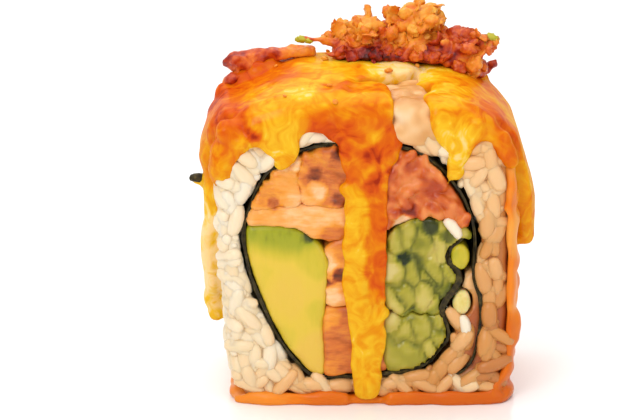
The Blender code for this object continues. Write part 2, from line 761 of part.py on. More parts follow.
def add_crisps(look, rng):
    """The heap of fried crumbs on the top: a lumpy core, with flakes standing out of it."""
    heap = sheet("crisps", CRUMB_PATCH, look, HEAP, on_sauce, heap_height, cell=2.6 * MM)
    low_u, high_u = min(p.x for p in CRUMB_PATCH), max(p.x for p in CRUMB_PATCH)
    flakes = []
    for _ in range(60 * FLAKES):
        if len(flakes) == FLAKES:
            break
        place = Vector((rng.uniform(low_u, high_u), rng.uniform(3, 12) * MM))
        if not inside(CRUMB_PATCH, place) or to_edge(CRUMB_PATCH, place) < 0.6 * MM:
            continue
        height = on_sauce(*place) + heap_height(*place) + rng.uniform(-0.6, 0.2) * MM
        lean = Vector((rng.uniform(-1, 1), rng.uniform(-1, 1), rng.uniform(-0.3, 1.1)))
        turn = Vector((1, 0, 0)).rotation_difference(lean).to_matrix()
        made = flake(
            on_slice(place.x, place.y, height), turn, rng.uniform(3.4, 6.4) * MM,
            rng.uniform(1.8, 3.0) * MM, rng.uniform(-0.2, 1.1) * MM,
        )
        low = min(over_rice(v.co) for v in made.data.vertices)
        if low < on_sauce(*place) + 0.1 * MM:
            bpy.data.objects.remove(made)
            continue
        flakes.append(made)
    level = Matrix.Rotation(math.radians(5), 3, "Y")
    flakes.append(flake(Vector((-5.6, 8.0, 48.4)) * MM, level, 7.6 * MM, 1.1 * MM, 0.3 * MM))
    out = Vector((1, 0, 0))
    flakes.append(grain(Vector((17.2, 7.6, 47.8)) * MM, out, out, 3.0 * MM, 1.9 * MM))
    fuse(heap, flakes)
    return heap


def add_shallot_strip(look):
    """A long fried strip on the back of the sauce. It is stiff, so its left end, which is wider,
    stands out over the left shoulder."""
    line = spline([on_top(-6.8, 9.2), on_top(-9.4, 9.4), on_top(-12.0, 9.0), on_top(-14.4, 8.2),
                   on_top(-16.2, 7.2)], closed=False)
    start, end = on_top(-9.4, 9).x, on_top(-16.2, 7).x

    def lifted(u, v):
        return on_sauce(u, v) + STRIP_LIFT * smooth_share(u, start, end)

    def thicker(u, v):
        return STRIP + STRIP_SPREAD * smooth_share(u, start, end)

    return sheet(
        "shallot_strip", moved_sideways(line, 1.3 * MM) + moved_sideways(line, -1.3 * MM)[::-1],
        look, STRIP, lifted, thicker, cell=2.0 * MM,
    )


def add_chilli_flake(look):
    """A red flake stuck on edge to the sauce behind the right shoulder."""
    place = on_top(16.2, 10.0)
    normal = on_outline(place.x)[1]
    out = Vector((normal.x, 0, normal.y))
    bm = bmesh.new()
    bmesh.ops.create_icosphere(bm, subdivisions=1, radius=0.5)
    bmesh.ops.scale(bm, verts=bm.verts, vec=(1.7 * MM, 1.2 * MM, CHILLI))
    turn = Vector((0, 0, 1)).rotation_difference(out).to_matrix()
    bmesh.ops.rotate(bm, verts=bm.verts, matrix=turn)
    centre = on_slice(place.x, place.y, on_sauce(*place) + CHILLI / 2)
    bmesh.ops.translate(bm, verts=bm.verts, vec=centre)
    return add_object("chilli_flake", mesh_of("chilli_flake", bm), look)


def main():
    clear_scene()
    rng = random.Random(11)
    rice_look = material("cooked_rice", (0.80, 0.68, 0.50), 0.45)
    nori_look = material("nori", (0.03, 0.035, 0.02), 0.5)
    yellow_look = material("yellow_sauce", (0.90, 0.45, 0.03), 0.2)
    orange_look = material("orange_sauce", (0.82, 0.22, 0.02), 0.2)
    crumb_look = material("fried_crumbs", (0.72, 0.22, 0.03), 0.55)
    looks = {
        "avocado": material("avocado", (0.72, 0.60, 0.10), 0.35),
        "cucumber": material("cucumber", (0.30, 0.33, 0.07), 0.25),
        "cucumber_lower": material("cucumber_lower", (0.42, 0.34, 0.10), 0.25),
        "salmon_right": material("salmon", (0.78, 0.25, 0.05), 0.35),
        "salmon_left": material("salmon_left", (0.90, 0.42, 0.04), 0.4),
        "crab_stick": material("crab_stick", (0.93, 0.45, 0.15), 0.4),
        "shrimp": material("shrimp", (0.78, 0.42, 0.20), 0.35),
        "salmon_strip": material("salmon_strip", (0.70, 0.24, 0.03), 0.35),
        "crab_mix": material("crab_mix", (0.74, 0.17, 0.03), 0.4),
        "avocado_sliver": material("avocado_sliver", (0.50, 0.50, 0.02), 0.35),
        "radish_sliver": material("radish_sliver", (0.70, 0.60, 0.15), 0.35),
    }
    add_rice(rice_look, rng)
    prism("nori", band(-NORI / 2, NORI / 2, 0, len(NORI_ROUTE) - 1), nori_look)
    add_fillings(looks)
    bake_modifiers(bpy.data.objects["crab_mix"])
    fuse(bpy.data.objects["crab_mix"], lumps(rng))
    add_orange_coat(orange_look)
    add_left_sauce(yellow_look)
    sheet("yellow_right", YELLOW_RIGHT, yellow_look, SAUCE, on_coat, swollen)
    sheet("orange_run", ORANGE_RUN, orange_look, SAUCE, swell=swollen)
    sheet("yellow_stripe", YELLOW_STRIPE, yellow_look, SAUCE)
    sheet("orange_shoulder", ORANGE_SHOULDER, orange_look, COAT)
    add_crisps(crumb_look, rng)
    add_shallot_strip(crumb_look)
    add_chilli_flake(material("chilli", (0.45, 0.04, 0.01), 0.4))


main()
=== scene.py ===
# %% [markdown]
# # One piece of uramaki roll
# The roll is cut from a long inside-out roll and stands on one flank of its rice, cut side to the
# front. Rice lies outside a sheet of nori, which is rolled a little more than once round avocado,
# cucumber, salmon and a spicy crab mix. A yellow and an orange sauce are squeezed over it and run
# down, and fried crumbs lie at the back of the top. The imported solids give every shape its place,
# and this script gives each one its real surface.

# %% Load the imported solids
import math
import random

import bmesh
import bpy
from mathutils import Matrix, Vector, noise
from mathutils.bvhtree import BVHTree
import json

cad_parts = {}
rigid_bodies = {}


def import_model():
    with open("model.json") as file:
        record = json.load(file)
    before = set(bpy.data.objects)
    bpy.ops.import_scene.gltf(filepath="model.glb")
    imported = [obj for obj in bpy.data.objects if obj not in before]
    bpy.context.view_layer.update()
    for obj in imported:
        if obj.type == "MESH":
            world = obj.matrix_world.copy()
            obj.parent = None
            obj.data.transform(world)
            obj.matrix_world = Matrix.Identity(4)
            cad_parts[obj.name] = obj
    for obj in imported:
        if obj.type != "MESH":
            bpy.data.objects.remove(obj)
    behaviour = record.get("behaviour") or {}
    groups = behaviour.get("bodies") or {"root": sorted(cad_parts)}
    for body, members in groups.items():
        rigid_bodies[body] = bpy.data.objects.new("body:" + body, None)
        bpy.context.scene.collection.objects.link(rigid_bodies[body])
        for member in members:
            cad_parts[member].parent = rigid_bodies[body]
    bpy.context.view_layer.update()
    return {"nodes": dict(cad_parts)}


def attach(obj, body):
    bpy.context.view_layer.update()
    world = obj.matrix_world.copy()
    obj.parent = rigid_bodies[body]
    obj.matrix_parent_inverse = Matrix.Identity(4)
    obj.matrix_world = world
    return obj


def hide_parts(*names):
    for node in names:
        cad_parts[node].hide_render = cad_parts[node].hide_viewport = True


for old in list(bpy.data.objects):
    bpy.data.objects.remove(old)
noise.seed_set(3)  # noise vectors start from the clock unless they get a seed

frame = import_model()
scene = bpy.context.scene
MM = 0.001
CUT = 12.5 * MM  # how far each cut lies from the middle of the roll

# %% [markdown]
# The camera looks straight at the cut from a little above. Its distance is that of a close food
# photo, and its lens makes 0.14 mm on the cut one pixel, so the roll has the size that it has in
# the photo. The camera stands a little to the left of the roll instead of shifting its lens.

# %% Camera
PIXEL = 0.14 * MM
PHOTO_WIDTH = 621
CAMERA_DISTANCE = 430 * MM
CAMERA_ABOVE = math.radians(15)
LOOKED_AT = Vector((-7.6 * MM, -CUT, 28.4 * MM))

lens = bpy.data.cameras.new("camera")
lens.lens = lens.sensor_width * CAMERA_DISTANCE / (PHOTO_WIDTH * PIXEL)
lens.clip_start, lens.clip_end = 0.02, 10
camera = bpy.data.objects.new("camera", lens)
scene.collection.objects.link(camera)
backwards = Vector((0, -math.cos(CAMERA_ABOVE), math.sin(CAMERA_ABOVE)))
camera.location = LOOKED_AT + backwards * CAMERA_DISTANCE
camera.rotation_euler = (-backwards).to_track_quat("-Z", "Y").to_euler()
scene.camera = camera
print("lens", round(lens.lens, 1), "mm")

# %% [markdown]
# Materials all start the same way: a Principled shader with its fixed numbers, and the object's
# own coordinates for patterns. Small helpers make that start, add each node, and link the colour
# and the bumps at the end. Colours are written as hex values that one would pick from a screen.

# %% Helpers for materials


def linear(colour):
    """An sRGB hex colour as the linear numbers that shaders take."""
    shares = [int(colour[i:i + 2], 16) / 255 for i in (0, 2, 4)]
    return [s / 12.92 if s <= 0.04045 else ((s + 0.055) / 1.055) ** 2.4 for s in shares] + [1.0]


def add_node(tree, kind, settings=None, links=None):
    """A node with its properties and sockets set, and its inputs linked to outputs."""
    node = tree.nodes.new(kind)
    for name, value in (settings or {}).items():
        if name == "stops":
            for stop, (position, colour) in enumerate(value):
                while len(node.color_ramp.elements) <= stop:
                    node.color_ramp.elements.new(1)
                node.color_ramp.elements[stop].position = position
                node.color_ramp.elements[stop].color = linear(colour)
        elif hasattr(node, str(name)):
            setattr(node, name, value)
        else:
            node.inputs[name].default_value = value
    for name, output in (links or {}).items():
        tree.links.new(output, node.inputs[name])
    return node


def new_finish(name, settings):
    """A material, its node tree, and the object coordinates to pattern it by."""
    finish = bpy.data.materials.new(name)
    finish.use_nodes = True
    tree = finish.node_tree
    shader = tree.nodes["Principled BSDF"]
    for socket, value in settings.items():
        shader.inputs[socket].default_value = value
    place = add_node(tree, "ShaderNodeTexCoord").outputs["Object"]
    return finish, tree, place


def tone_of(tree):
    """The value that the script has painted on a mesh, from 0 to 1."""
    return add_node(tree, "ShaderNodeAttribute", {"attribute_name": "tone"}).outputs["Fac"]


def dress(finish, colour, bump=None):
    """Links a colour, and the bumps that catch the light, to a material's shader."""
    tree = finish.node_tree
    shader = tree.nodes["Principled BSDF"]
    tree.links.new(colour.outputs["Color"], shader.inputs["Base Color"])
    if bump:
        tree.links.new(bump.outputs["Normal"], shader.inputs["Normal"])
    print("finish", finish.name, "has", len(tree.nodes), "nodes")


print("half of full white on a screen is", round(linear("808080")[0], 2), "to a shader")

# %% [markdown]
# Food has no sharp edges and no even surface. Most pieces here start as a copy of their solid,
# whose loose triangles are merged. A voxel remesh then gives them an even skin of small faces,
# smoothing rounds what the knife or gravity rounds, and the skin is pushed in and out by noise.

# %% Helpers for shapes
VOXEL = 0.4 * MM  # small enough for what a close photo shows of a filling
FINE_VOXEL = 0.3 * MM  # for pieces that are only 2 mm wide


def mesh_of(bm, name):
    """Turns a bmesh into a mesh, and lets the bmesh go."""
    mesh = bpy.data.meshes.new(name)
    bm.to_mesh(mesh)
    bm.free()
    return mesh


def put_at(x, y, z):
    """The move to a place that is given in millimetres."""
    return Matrix.Translation(Vector((x, y, z)) * MM)


def copy_of(*nodes):
    """A bmesh of some solids, with their loose triangles joined."""
    bm = bmesh.new()
    for node in nodes:
        bm.from_mesh(frame["nodes"][node].data)
    bmesh.ops.remove_doubles(bm, verts=bm.verts, dist=0.001 * MM)
    return bm


def reskinned(bm, voxel, rounds):
    """One closed skin round everything in bm, made of even faces and smoothed a few rounds."""
    rough = mesh_of(bm, "rough")
    helper = bpy.data.objects.new("helper", rough)
    scene.collection.objects.link(helper)
    voxels = helper.modifiers.new("voxels", "REMESH")
    voxels.mode = "VOXEL"
    voxels.voxel_size = voxel
    if rounds:
        soften = helper.modifiers.new("soften", "SMOOTH")
        soften.iterations = rounds
    graph = bpy.context.evaluated_depsgraph_get()
    smooth = bpy.data.meshes.new_from_object(helper.evaluated_get(graph))
    bpy.data.objects.remove(helper)
    skin = bmesh.new()
    skin.from_mesh(smooth)
    bpy.data.meshes.remove(smooth)
    bpy.data.meshes.remove(rough)
    return skin


def push(bm, rule):
    """Moves each vertex along its normal by what the rule gives for its place and normal."""
    bm.normal_update()
    moves = [(v, v.normal * rule(v.co, v.normal)) for v in bm.verts]
    for vert, move in moves:
        vert.co += move


def paint(bm, rule):
    """Paints the tone that a material reads: the rule gives it from a vertex's place."""
    tone = bm.verts.layers.float.get("tone") or bm.verts.layers.float.new("tone")
    for vert in bm.verts:
        vert[tone] = min(max(rule(vert.co), 0), 1)


def add_piece(name, bm, finish, slot, *replaces):
    """A finished piece, which rides on the roll and stands for the solids that it replaces."""
    mesh = mesh_of(bm, name)
    mesh.materials.append(finish)
    mesh.shade_smooth()
    piece = bpy.data.objects.new(name, mesh)
    scene.collection.objects.link(piece)
    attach(piece, "root")
    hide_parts(*replaces)
    faces = sum(len(p.vertices) - 2 for p in mesh.polygons)
    print(name, faces, "triangles")
    return piece


def ripple(place, size):
    """Smooth noise from -1 to 1, with lumps of that size."""
    return noise.noise(place / size)


def smooth_share(value, low, high):
    """How far a value is from low to high, as 0 to 1 with soft ends."""
    share = min(max((value - low) / (high - low), 0), 1)
    return share * share * (3 - 2 * share)


def blotched(place, base, spots, ragged=0.9, soft=0.28):
    """A tone with blotches on it. Each spot is x, y, z and radius in mm, and its own tone."""
    wobble = ragged * ripple(place, 2.2 * MM) + 0.5 * ragged * ripple(place, 0.9 * MM)
    tone = base
    for x, y, z, radius, value in spots:
        away = (place / MM - Vector((x, y, z))).length + wobble
        fading = smooth_share(away, (0.82 - soft) * radius, (0.82 + soft) * radius)
        tone += (value - tone) * (1 - fading)
    return tone


print("even faces of", VOXEL / MM, "mm, and of", FINE_VOXEL / MM, "mm on small pieces")

# %% [markdown]
# A cooked grain of sushi rice is about 5 mm long and 2.2 mm thick, plump, a little bent, and
# rounded at its ends. One low sphere is stretched and bent into it, in three sizes, and each is
# used hundreds of times, so it keeps to a few dozen faces.

# %% Rice grain shapes
GRAIN_SIZES = [(4.9, 2.3, 2.0), (4.5, 2.4, 2.1), (5.3, 2.1, 1.9)]


def grain_shape(length, width, height):
    """A plump grain along x, blunt at its ends and a little bent."""
    bm = bmesh.new()
    bmesh.ops.create_uvsphere(bm, u_segments=8, v_segments=7, radius=0.5)
    bmesh.ops.rotate(bm, verts=bm.verts, matrix=Matrix.Rotation(math.pi / 2, 3, "Y"))
    for vert in bm.verts:
        thick = math.hypot(vert.co.y, vert.co.z) * 2
        blunt = max(thick, 0.05) ** -0.4
        vert.co.y *= blunt
        vert.co.z = vert.co.z * blunt + 0.5 * (0.25 - vert.co.x ** 2)
    bmesh.ops.scale(bm, verts=bm.verts, vec=(length * MM, width * MM, height * MM))
    return mesh_of(bm, "grain")


grain_shapes = [grain_shape(*size) for size in GRAIN_SIZES]
print("faces a grain", len(grain_shapes[0].polygons))

# %% [markdown]
# Things that lie loose, such as grains and crumbs, need places that are random but not on top of
# each other. A particle system could give them, but it can't keep them apart. So places are drawn
# on the triangles of a mesh, large ones more often, and one is kept only if no other is too near.

# %% Random places


def random_places(bm, spacing, tries, seed):
    """Random places on a mesh with their normals, no two nearer than spacing."""
    rng = random.Random(seed)
    corners = [[loop.vert.co for loop in loops] for loops in bm.calc_loop_triangles()]
    areas = [(b - a).cross(c - a).length for a, b, c in corners]
    cells = {}
    places = []
    for a, b, c in rng.choices(corners, weights=areas, k=tries):
        s, t = rng.random(), rng.random()
        if s + t > 1:
            s, t = 1 - s, 1 - t
        spot = a + (b - a) * s + (c - a) * t
        key = tuple(int(v // spacing) for v in spot)
        near = (
            other
            for i in (-1, 0, 1) for j in (-1, 0, 1) for k in (-1, 0, 1)
            for other in cells.get((key[0] + i, key[1] + j, key[2] + k), ())
        )
        if all((spot - other).length > spacing for other in near):
            cells.setdefault(key, []).append(spot)
            places.append((spot, (b - a).cross(c - a).normalized()))
    return places


def lying(spot, normal, rng, tilt, sink):
    """The turn and place of one grain that lies on a surface, sunk into it."""
    along = normal.orthogonal()
    along.rotate(Matrix.Rotation(rng.uniform(0, math.tau), 3, normal))
    along = (along + normal * rng.uniform(-tilt, tilt)).normalized()
    across = normal.cross(along).normalized()
    turn = Matrix((along, across, along.cross(across))).transposed().to_4x4()
    return Matrix.Translation(spot + normal * sink) @ turn


nori_solid = copy_of("nori")
print("places on the nori", len(random_places(nori_solid, 2 * MM, 2000, 1)))

# %% [markdown]
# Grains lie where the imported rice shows: on both cuts, round the nori, and on the flanks and the
# top. A ray along the surface's normal tells whether sauce lies over a place. Such grains aren't
# shown, but they are kept for later, because they push bumps through the sauce. A grain is turned
# until both of its tips are clear of the nori, and small broken grains fill what is left there.

# %% Places for the grains
SAUCES = ["yellow_left", "yellow_right", "yellow_stripe", "orange_run", "orange_shoulder"]
COVER = 2.6 * MM  # sauce further out than this doesn't lie on a grain
TURNS = 24  # how often a grain is turned before its place is given up
TRIES = 26000  # places drawn on the rice, most of which are too near another
TILT = 0.35  # how far a grain may lean out of the surface, along its length
rice_core = reskinned(copy_of("rice"), 0.75 * MM, 6)
nori_tree = BVHTree.FromBMesh(copy_of("nori", "radish_sliver", "avocado_sliver"))
sauce_tree = BVHTree.FromBMesh(copy_of(*SAUCES))
coat_tree = BVHTree.FromBMesh(copy_of("orange_coat"))


def clear_of_nori(grain, reach, gap):
    """Whether both tips of a grain, reach mm from its middle, are gap mm from the nori."""
    tips = [grain @ Vector((way * reach * MM, 0, 0)) for way in (-1, 1)]
    return all(nori_tree.find_nearest(tip)[3] > gap * MM for tip in tips)


def sort_grains(spacing, sink, seed, reach=1.9, gap=0.7):
    """Grain places on the rice, as those that show, those under sauce, and those under coat."""
    rng = random.Random(seed)
    shown, under_sauce, under_coat = [], [], []
    for spot, normal in random_places(rice_core, spacing, TRIES, seed):
        to_nori = nori_tree.find_nearest(spot)[3]
        beside_sheet = to_nori < 1.9 * MM and abs(normal.y) < 0.7
        underside = normal.z < -0.6
        if to_nori < 0.75 * MM or beside_sheet or underside:
            continue
        for _ in range(TURNS):
            grain = lying(spot, normal, rng, TILT, sink + rng.uniform(-0.15, 0.25) * MM)
            if clear_of_nori(grain, reach, gap):
                break
        else:
            continue
        if sauce_tree.ray_cast(spot - normal * MM, normal, COVER + MM)[0]:
            under_sauce.append(grain)
        elif coat_tree.ray_cast(spot - normal * MM, normal, COVER + MM)[0]:
            under_coat.append(grain)
        elif normal.z < 0.8 or sauce_tree.find_nearest(spot)[3] > MM:
            shown.append(grain)
    return shown, under_sauce, under_coat


low_shown = sort_grains(1.5 * MM, -0.5 * MM, 5)[0]
top_shown, top_sauce, top_coat = sort_grains(2.3 * MM, -0.15 * MM, 6)
broken = [
    grain for grain in sort_grains(1.1 * MM, -0.35 * MM, 9, 1.0, 0.5)[0]
    if nori_tree.find_nearest(grain.translation)[3] < 2.2 * MM
]
print("grains", len(low_shown) + len(top_shown), "under sauce", len(top_sauce), len(top_coat))

# %% [markdown]
# Cooked rice is white, moist and a little see-through, so light spreads under its skin. One even
# colour would look like plaster. So the colour follows a tone that is painted on each grain: 0 is
# clean rice, and 1 is rice that the sauce has run into; low on the right the high tones are partly
# painted shade. Fine pores break up the shine.

# %% Steamed rice finish
# Moist starch gives a soft shine, and light that glows through a grain's edge.
rice_finish, tree, place = new_finish("steamed_rice", {
    "Roughness": 0.33, "IOR": 1.42, "Subsurface Weight": 0.25, "Subsurface Scale": 0.6 * MM,
    "Subsurface Radius": (1.0, 0.75, 0.5),
})
stain = add_node(tree, "ShaderNodeValToRGB", {"stops": [
    (0.0, "efe2cc"), (0.25, "ecd2aa"), (0.5, "e6b47a"), (0.75, "cf8e4a"), (1.0, "ac5a28")]},
    {"Fac": tone_of(tree)})
pores = add_node(tree, "ShaderNodeTexNoise", {"Scale": 1 / (0.35 * MM), "Detail": 3.0},
                 {"Vector": place})
dents = add_node(tree, "ShaderNodeBump", {"Strength": 0.25, "Distance": 0.08 * MM},
                 {"Height": pores.outputs["Fac"]})
dress(rice_finish, stain, dents)

# %% [markdown]
# The sauces have run into the rice at the right and on the top and stained it peach, most of all
# between the grains. Low on the right flank and at the foot the darker tone is partly painted shade.
# Noise alone would put the stains anywhere. A short list of blotches, each with its place and size in
# millimetres, puts them where they belong on every side of the roll.

# %% Stains on the rice
# Sauce stains; the dark blotches low on the right flank and at the foot also hold painted shade.
STAINS = [
    (5.0, -6, 44.5, 9, 0.55), (8, -12.5, 39.5, 4, 0.50), (20, -12, 38, 8, 0.62),
    (20.5, -12, 22, 7, 0.80), (19, -12, 9, 9, 0.95), (8, -12.5, 3, 6, 0.88), (-2, -12.5, 2, 7, 0.8),
    (-20.5, -12, 38, 4.5, 0.5), (-13, -12.5, 40, 4, 0.45), (-21, -8, 31, 4, 0.35),
    (12, -12.5, 9, 3.5, 0.75), (12.5, -12.5, 15, 3.0, 0.6), (-15, -12, 2, 6, 0.45),
    (-19.5, -12, 10, 7, 0.26), (-8, -12.5, 2.6, 5, 0.60),
]


def stained(spot):
    """Clean at the left, peach towards the right flank and more so near the sauces, with painted
    shade low on the right.
    """
    base = 0.19 + 0.45 * smooth_share(spot.x, 11 * MM, 19 * MM)
    base += 0.12 * ripple(spot, 5 * MM)
    return blotched(spot, base, STAINS)


for side, x in (("left", -19), ("right", 20)):
    print("tone of the rice at the", side, round(stained(Vector((x, -12, 22)) * MM), 2))

# %% [markdown]
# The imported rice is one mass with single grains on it. So the solid gets a soft skin first, which
# keeps clear of the nori's cut edge, and copies of the grain shapes are set into it, each in its own
# size and shade. On the top a thin film of sauce joins the grains: there they are fused by a remesh.
# Two clean grains lie by the curls of nori, and a last row bulges over the sauce at the foot.

# %% Rice
FILM_MIDDLE, FILM_REACH, FILM_FROM = 6.5 * MM, 6 * MM, 38.5 * MM
CLEAN_GRAINS = [(12.3, 25.8, 0.9), (14.1, 11.4, 1.4)]
FOOT_ROW = 13  # grains at the foot of each cut, 2.7 mm apart


def add_copy(bm, shape, turn, tone):
    """Adds a copy of a shape to a mesh, turned and moved, in one tone all over."""
    loose = shape.copy()
    loose.transform(turn)
    own = loose.attributes.new("tone", "FLOAT", "POINT")
    own.data.foreach_set("value", [min(max(tone, 0), 1)] * len(loose.vertices))
    bm.from_mesh(loose)
    bpy.data.meshes.remove(loose)


def with_grains(bm, grains, seed, grow=1.0, tone_rule=None):
    """Adds grains to a mesh, each in its own size and shade."""
    rng = random.Random(seed)
    for grain in grains:
        tone = (tone_rule(grain.translation) if tone_rule else 0) + rng.uniform(-0.08, 0.08)
        size = Matrix.Scale(grow * rng.uniform(0.88, 1.06), 4)
        add_copy(bm, rng.choice(grain_shapes), grain @ size, tone)
    return bm


def filmed(grain):
    """True where a thin film of sauce covers the rice: between the two sauces on the top."""
    x, y, z = grain.translation
    return abs(x - FILM_MIDDLE) < FILM_REACH and z > FILM_FROM


def settled(spot, normal):
    """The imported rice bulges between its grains, and leaves the nori's cut edge free."""
    drawn_back = 1 - smooth_share(nori_tree.find_nearest(spot)[3], 0.3 * MM, 0.7 * MM)
    return (0.12 - 0.5 * drawn_back) * MM + 0.25 * MM * ripple(spot, 2 * MM)


paint(rice_core, lambda spot: stained(spot) * 1.08 + 0.03)
push(rice_core, settled)
all_shown = low_shown + top_shown
rice = with_grains(rice_core, [g for g in all_shown if not filmed(g)], 7,
                   tone_rule=lambda spot: 0.85 * stained(spot))
with_grains(rice, broken, 10, grow=0.62, tone_rule=lambda spot: 0.88 * stained(spot))
film = reskinned(with_grains(bmesh.new(), [g for g in all_shown if filmed(g)], 8), 0.35 * MM, 6)
push(film, lambda spot, normal: 0.15 * MM)
paint(film, lambda spot: stained(spot) + 0.12 + 0.25 * ripple(spot, 1.8 * MM))
rice.from_mesh(mesh_of(film, "film"))
for x, z, slant in CLEAN_GRAINS:
    turn = put_at(x, -12.9, z) @ Matrix.Rotation(slant, 4, "Y")
    add_copy(rice, grain_shapes[1], turn @ Matrix.Scale(0.8, 4), 0.05)
foot = random.Random(12)
for side in (-1, 1):
    for step in range(FOOT_ROW):
        spot = Vector((-16.2 + 2.7 * step + foot.uniform(-0.8, 0.8), 12.2 * side, 2.4)) * MM
        behind_run = side < 0 and -3.6 * MM < spot.x < 4.2 * MM
        if not behind_run:
            turn = Matrix.Rotation(foot.uniform(-1.2, 1.2), 4, "Y")
            tone = 0.78 * stained(spot) + foot.uniform(-0.08, 0.08)
            add_copy(rice, foot.choice(grain_shapes), Matrix.Translation(spot) @ turn, tone)
add_piece("rice_grains", rice, rice_finish, "cooked_rice", "rice")

# %% [markdown]
# Nori is a sheet of pressed and roasted seaweed, nearly black with a green cast. Once it is rolled
# in moist rice it goes soft and dull, and only its wrinkles still catch the light.

# %% Roasted seaweed finish
# A matt leaf: fibres about 0.7 mm apart give it flecks of green, and low bumps.
nori_finish, tree, place = new_finish("roasted_seaweed", {
    "Roughness": 0.55, "IOR": 1.4, "Specular IOR Level": 0.35,
})
fibres = add_node(tree, "ShaderNodeTexNoise", {"Scale": 1 / (0.7 * MM), "Detail": 5.0},
                  {"Vector": place})
green_black = add_node(tree, "ShaderNodeValToRGB", {"stops": [
    (0.3, "18120a"), (0.55, "3a3012"), (0.8, "665826")]}, {"Fac": fibres.outputs["Fac"]})
wrinkles = add_node(tree, "ShaderNodeBump", {"Strength": 0.6, "Distance": 0.15 * MM},
                    {"Height": fibres.outputs["Fac"]})
dress(nori_finish, green_black, wrinkles)

# %% [markdown]
# The sheet's cut edge waves a little. A cloth simulation would crumple it as a whole, but the roll
# holds it. So the solid's sheet is cut into short strips along its depth, and both of its sides are
# moved together by the same noise. At its inner end it has drawn up juice and is thicker.

# %% Nori
STRIP = 1.1 * MM  # short enough for the edge to wave smoothly
for step in range(-11, 12):
    bmesh.ops.bisect_plane(
        nori_solid, geom=nori_solid.verts[:] + nori_solid.edges[:] + nori_solid.faces[:],
        plane_co=(0, step * STRIP, 0), plane_no=(0, 1, 0), dist=0.01 * MM,
    )


def soaked_nori(spot, normal):
    """The sheet is thinner than its solid, but swollen where its inner end is rolled in."""
    if abs(normal.y) > 0.9:
        return 0
    swollen = 1 - smooth_share((spot.xz - Vector((11.8, 17)) * MM).length, 3 * MM, 6 * MM)
    return (-0.13 + 0.35 * swollen) * MM


push(nori_solid, soaked_nori)
for vert in nori_solid.verts:
    wave = noise.noise_vector(vert.co / (3.5 * MM))
    vert.co += Vector((wave.x, 0, wave.z)) * 0.3 * MM
    vert.co.y += math.copysign(0.5 * MM, vert.co.y) * ripple(vert.co, 1.5 * MM)
bmesh.ops.triangulate(nori_solid, faces=[f for f in nori_solid.faces if len(f.verts) > 4])
nori = add_piece("nori_sheet", nori_solid, nori_finish, "nori", "nori")
for polygon in nori.data.polygons:
    polygon.use_smooth = abs(polygon.normal.y) < 0.5

# %% [markdown]
# Avocado flesh is like firm butter. Its cut is smooth, deep green just under the skin and pale
# yellow by the stone. The green is painted as a tone, and fine upright strands vary it a little.

# %% Avocado finish
# Soft fat gives a silky shine, and the knife leaves faint upright lines.
avocado_finish, tree, place = new_finish("avocado_flesh", {
    "Roughness": 0.36, "IOR": 1.45, "Subsurface Weight": 0.25, "Subsurface Scale": 0.8 * MM,
    "Subsurface Radius": (0.9, 1.0, 0.35),
})
upright = add_node(tree, "ShaderNodeMapping", {"Scale": (1.0, 1.0, 0.3)}, {"Vector": place})
strands = add_node(tree, "ShaderNodeTexNoise", {"Scale": 1 / (0.9 * MM), "Detail": 3.0},
                   {"Vector": upright.outputs[0]})
streaks = add_node(tree, "ShaderNodeMath", {"operation": "MULTIPLY_ADD", 1: 0.22, 2: -0.11},
                   {0: strands.outputs["Fac"]})
mixed = add_node(tree, "ShaderNodeMath", {"operation": "ADD", "use_clamp": True},
                 {0: tone_of(tree), 1: streaks.outputs[0]})
flesh = add_node(tree, "ShaderNodeValToRGB", {"stops": [
    (0.0, "e0b748"), (0.3, "dcbc3a"), (0.55, "c8b428"), (0.85, "9a9c10"), (1.0, "3c4410")]},
    {"Fac": mixed.outputs[0]})
knife = add_node(tree, "ShaderNodeBump", {"Strength": 0.5, "Distance": 0.15 * MM},
                 {"Height": strands.outputs["Fac"]})
dress(avocado_finish, flesh, knife)

# %% [markdown]
# The wedge lies with its green side at the top. The fillings are all pressed against each other,
# so their skins are let out a little, which closes the gaps that their solids leave.

# %% Avocado
PRESSED = 0.3 * MM  # how far the fillings' skins are let out
AVOCADO_PATCHES = [
    (-8.0, -12.5, 24.7, 1.3, 1.0), (-6.4, -12.5, 20.8, 3.0, 0.52), (-14.6, -12.5, 18.0, 3.4, 0.36),
    (-10.5, -12.5, 16.0, 4.0, 0.16), (-6.4, -12.5, 13.4, 2.6, 0.46), (-7.0, -12.5, 7.6, 3.4, 0.06),
    (-11.6, -12.5, 9.4, 2.4, 0.42),
]


def avocado_tone(spot):
    """Green in a band under the upper edge, which slopes down to the right."""
    rim = 25.6 * MM - 0.24 * max(spot.x + 16 * MM, 0)
    green = smooth_share(spot.z + 0.5 * MM * ripple(spot, 3 * MM), rim - 4.2 * MM, rim - 0.8 * MM)
    fade = 0.28 + 0.10 * ripple(spot, 4 * MM)
    return blotched(spot, fade + (0.84 - fade) * green, AVOCADO_PATCHES, 0.5)


avocado = reskinned(copy_of("avocado"), 0.45 * MM, 5)
push(avocado, lambda spot, normal: PRESSED + 0.10 * MM * ripple(spot, 3 * MM))
paint(avocado, avocado_tone)
add_piece("avocado_wedge", avocado, avocado_finish, "avocado", "avocado")
sliver = reskinned(copy_of("avocado_sliver"), FINE_VOXEL, 3)
push(sliver, lambda spot, normal: PRESSED + 0.12 * MM * ripple(spot, 1.2 * MM))
paint(sliver, lambda spot: 0.62 + 0.2 * ripple(spot, 1.5 * MM))
add_piece("avocado_end", sliver, avocado_finish, "avocado_rim", "avocado_sliver")

# %% [markdown]
# Cucumber is nearly all water: wet, glossy and half clear, so light goes deep into it. Its flesh
# is pale green, and dark green skin shows here and there.

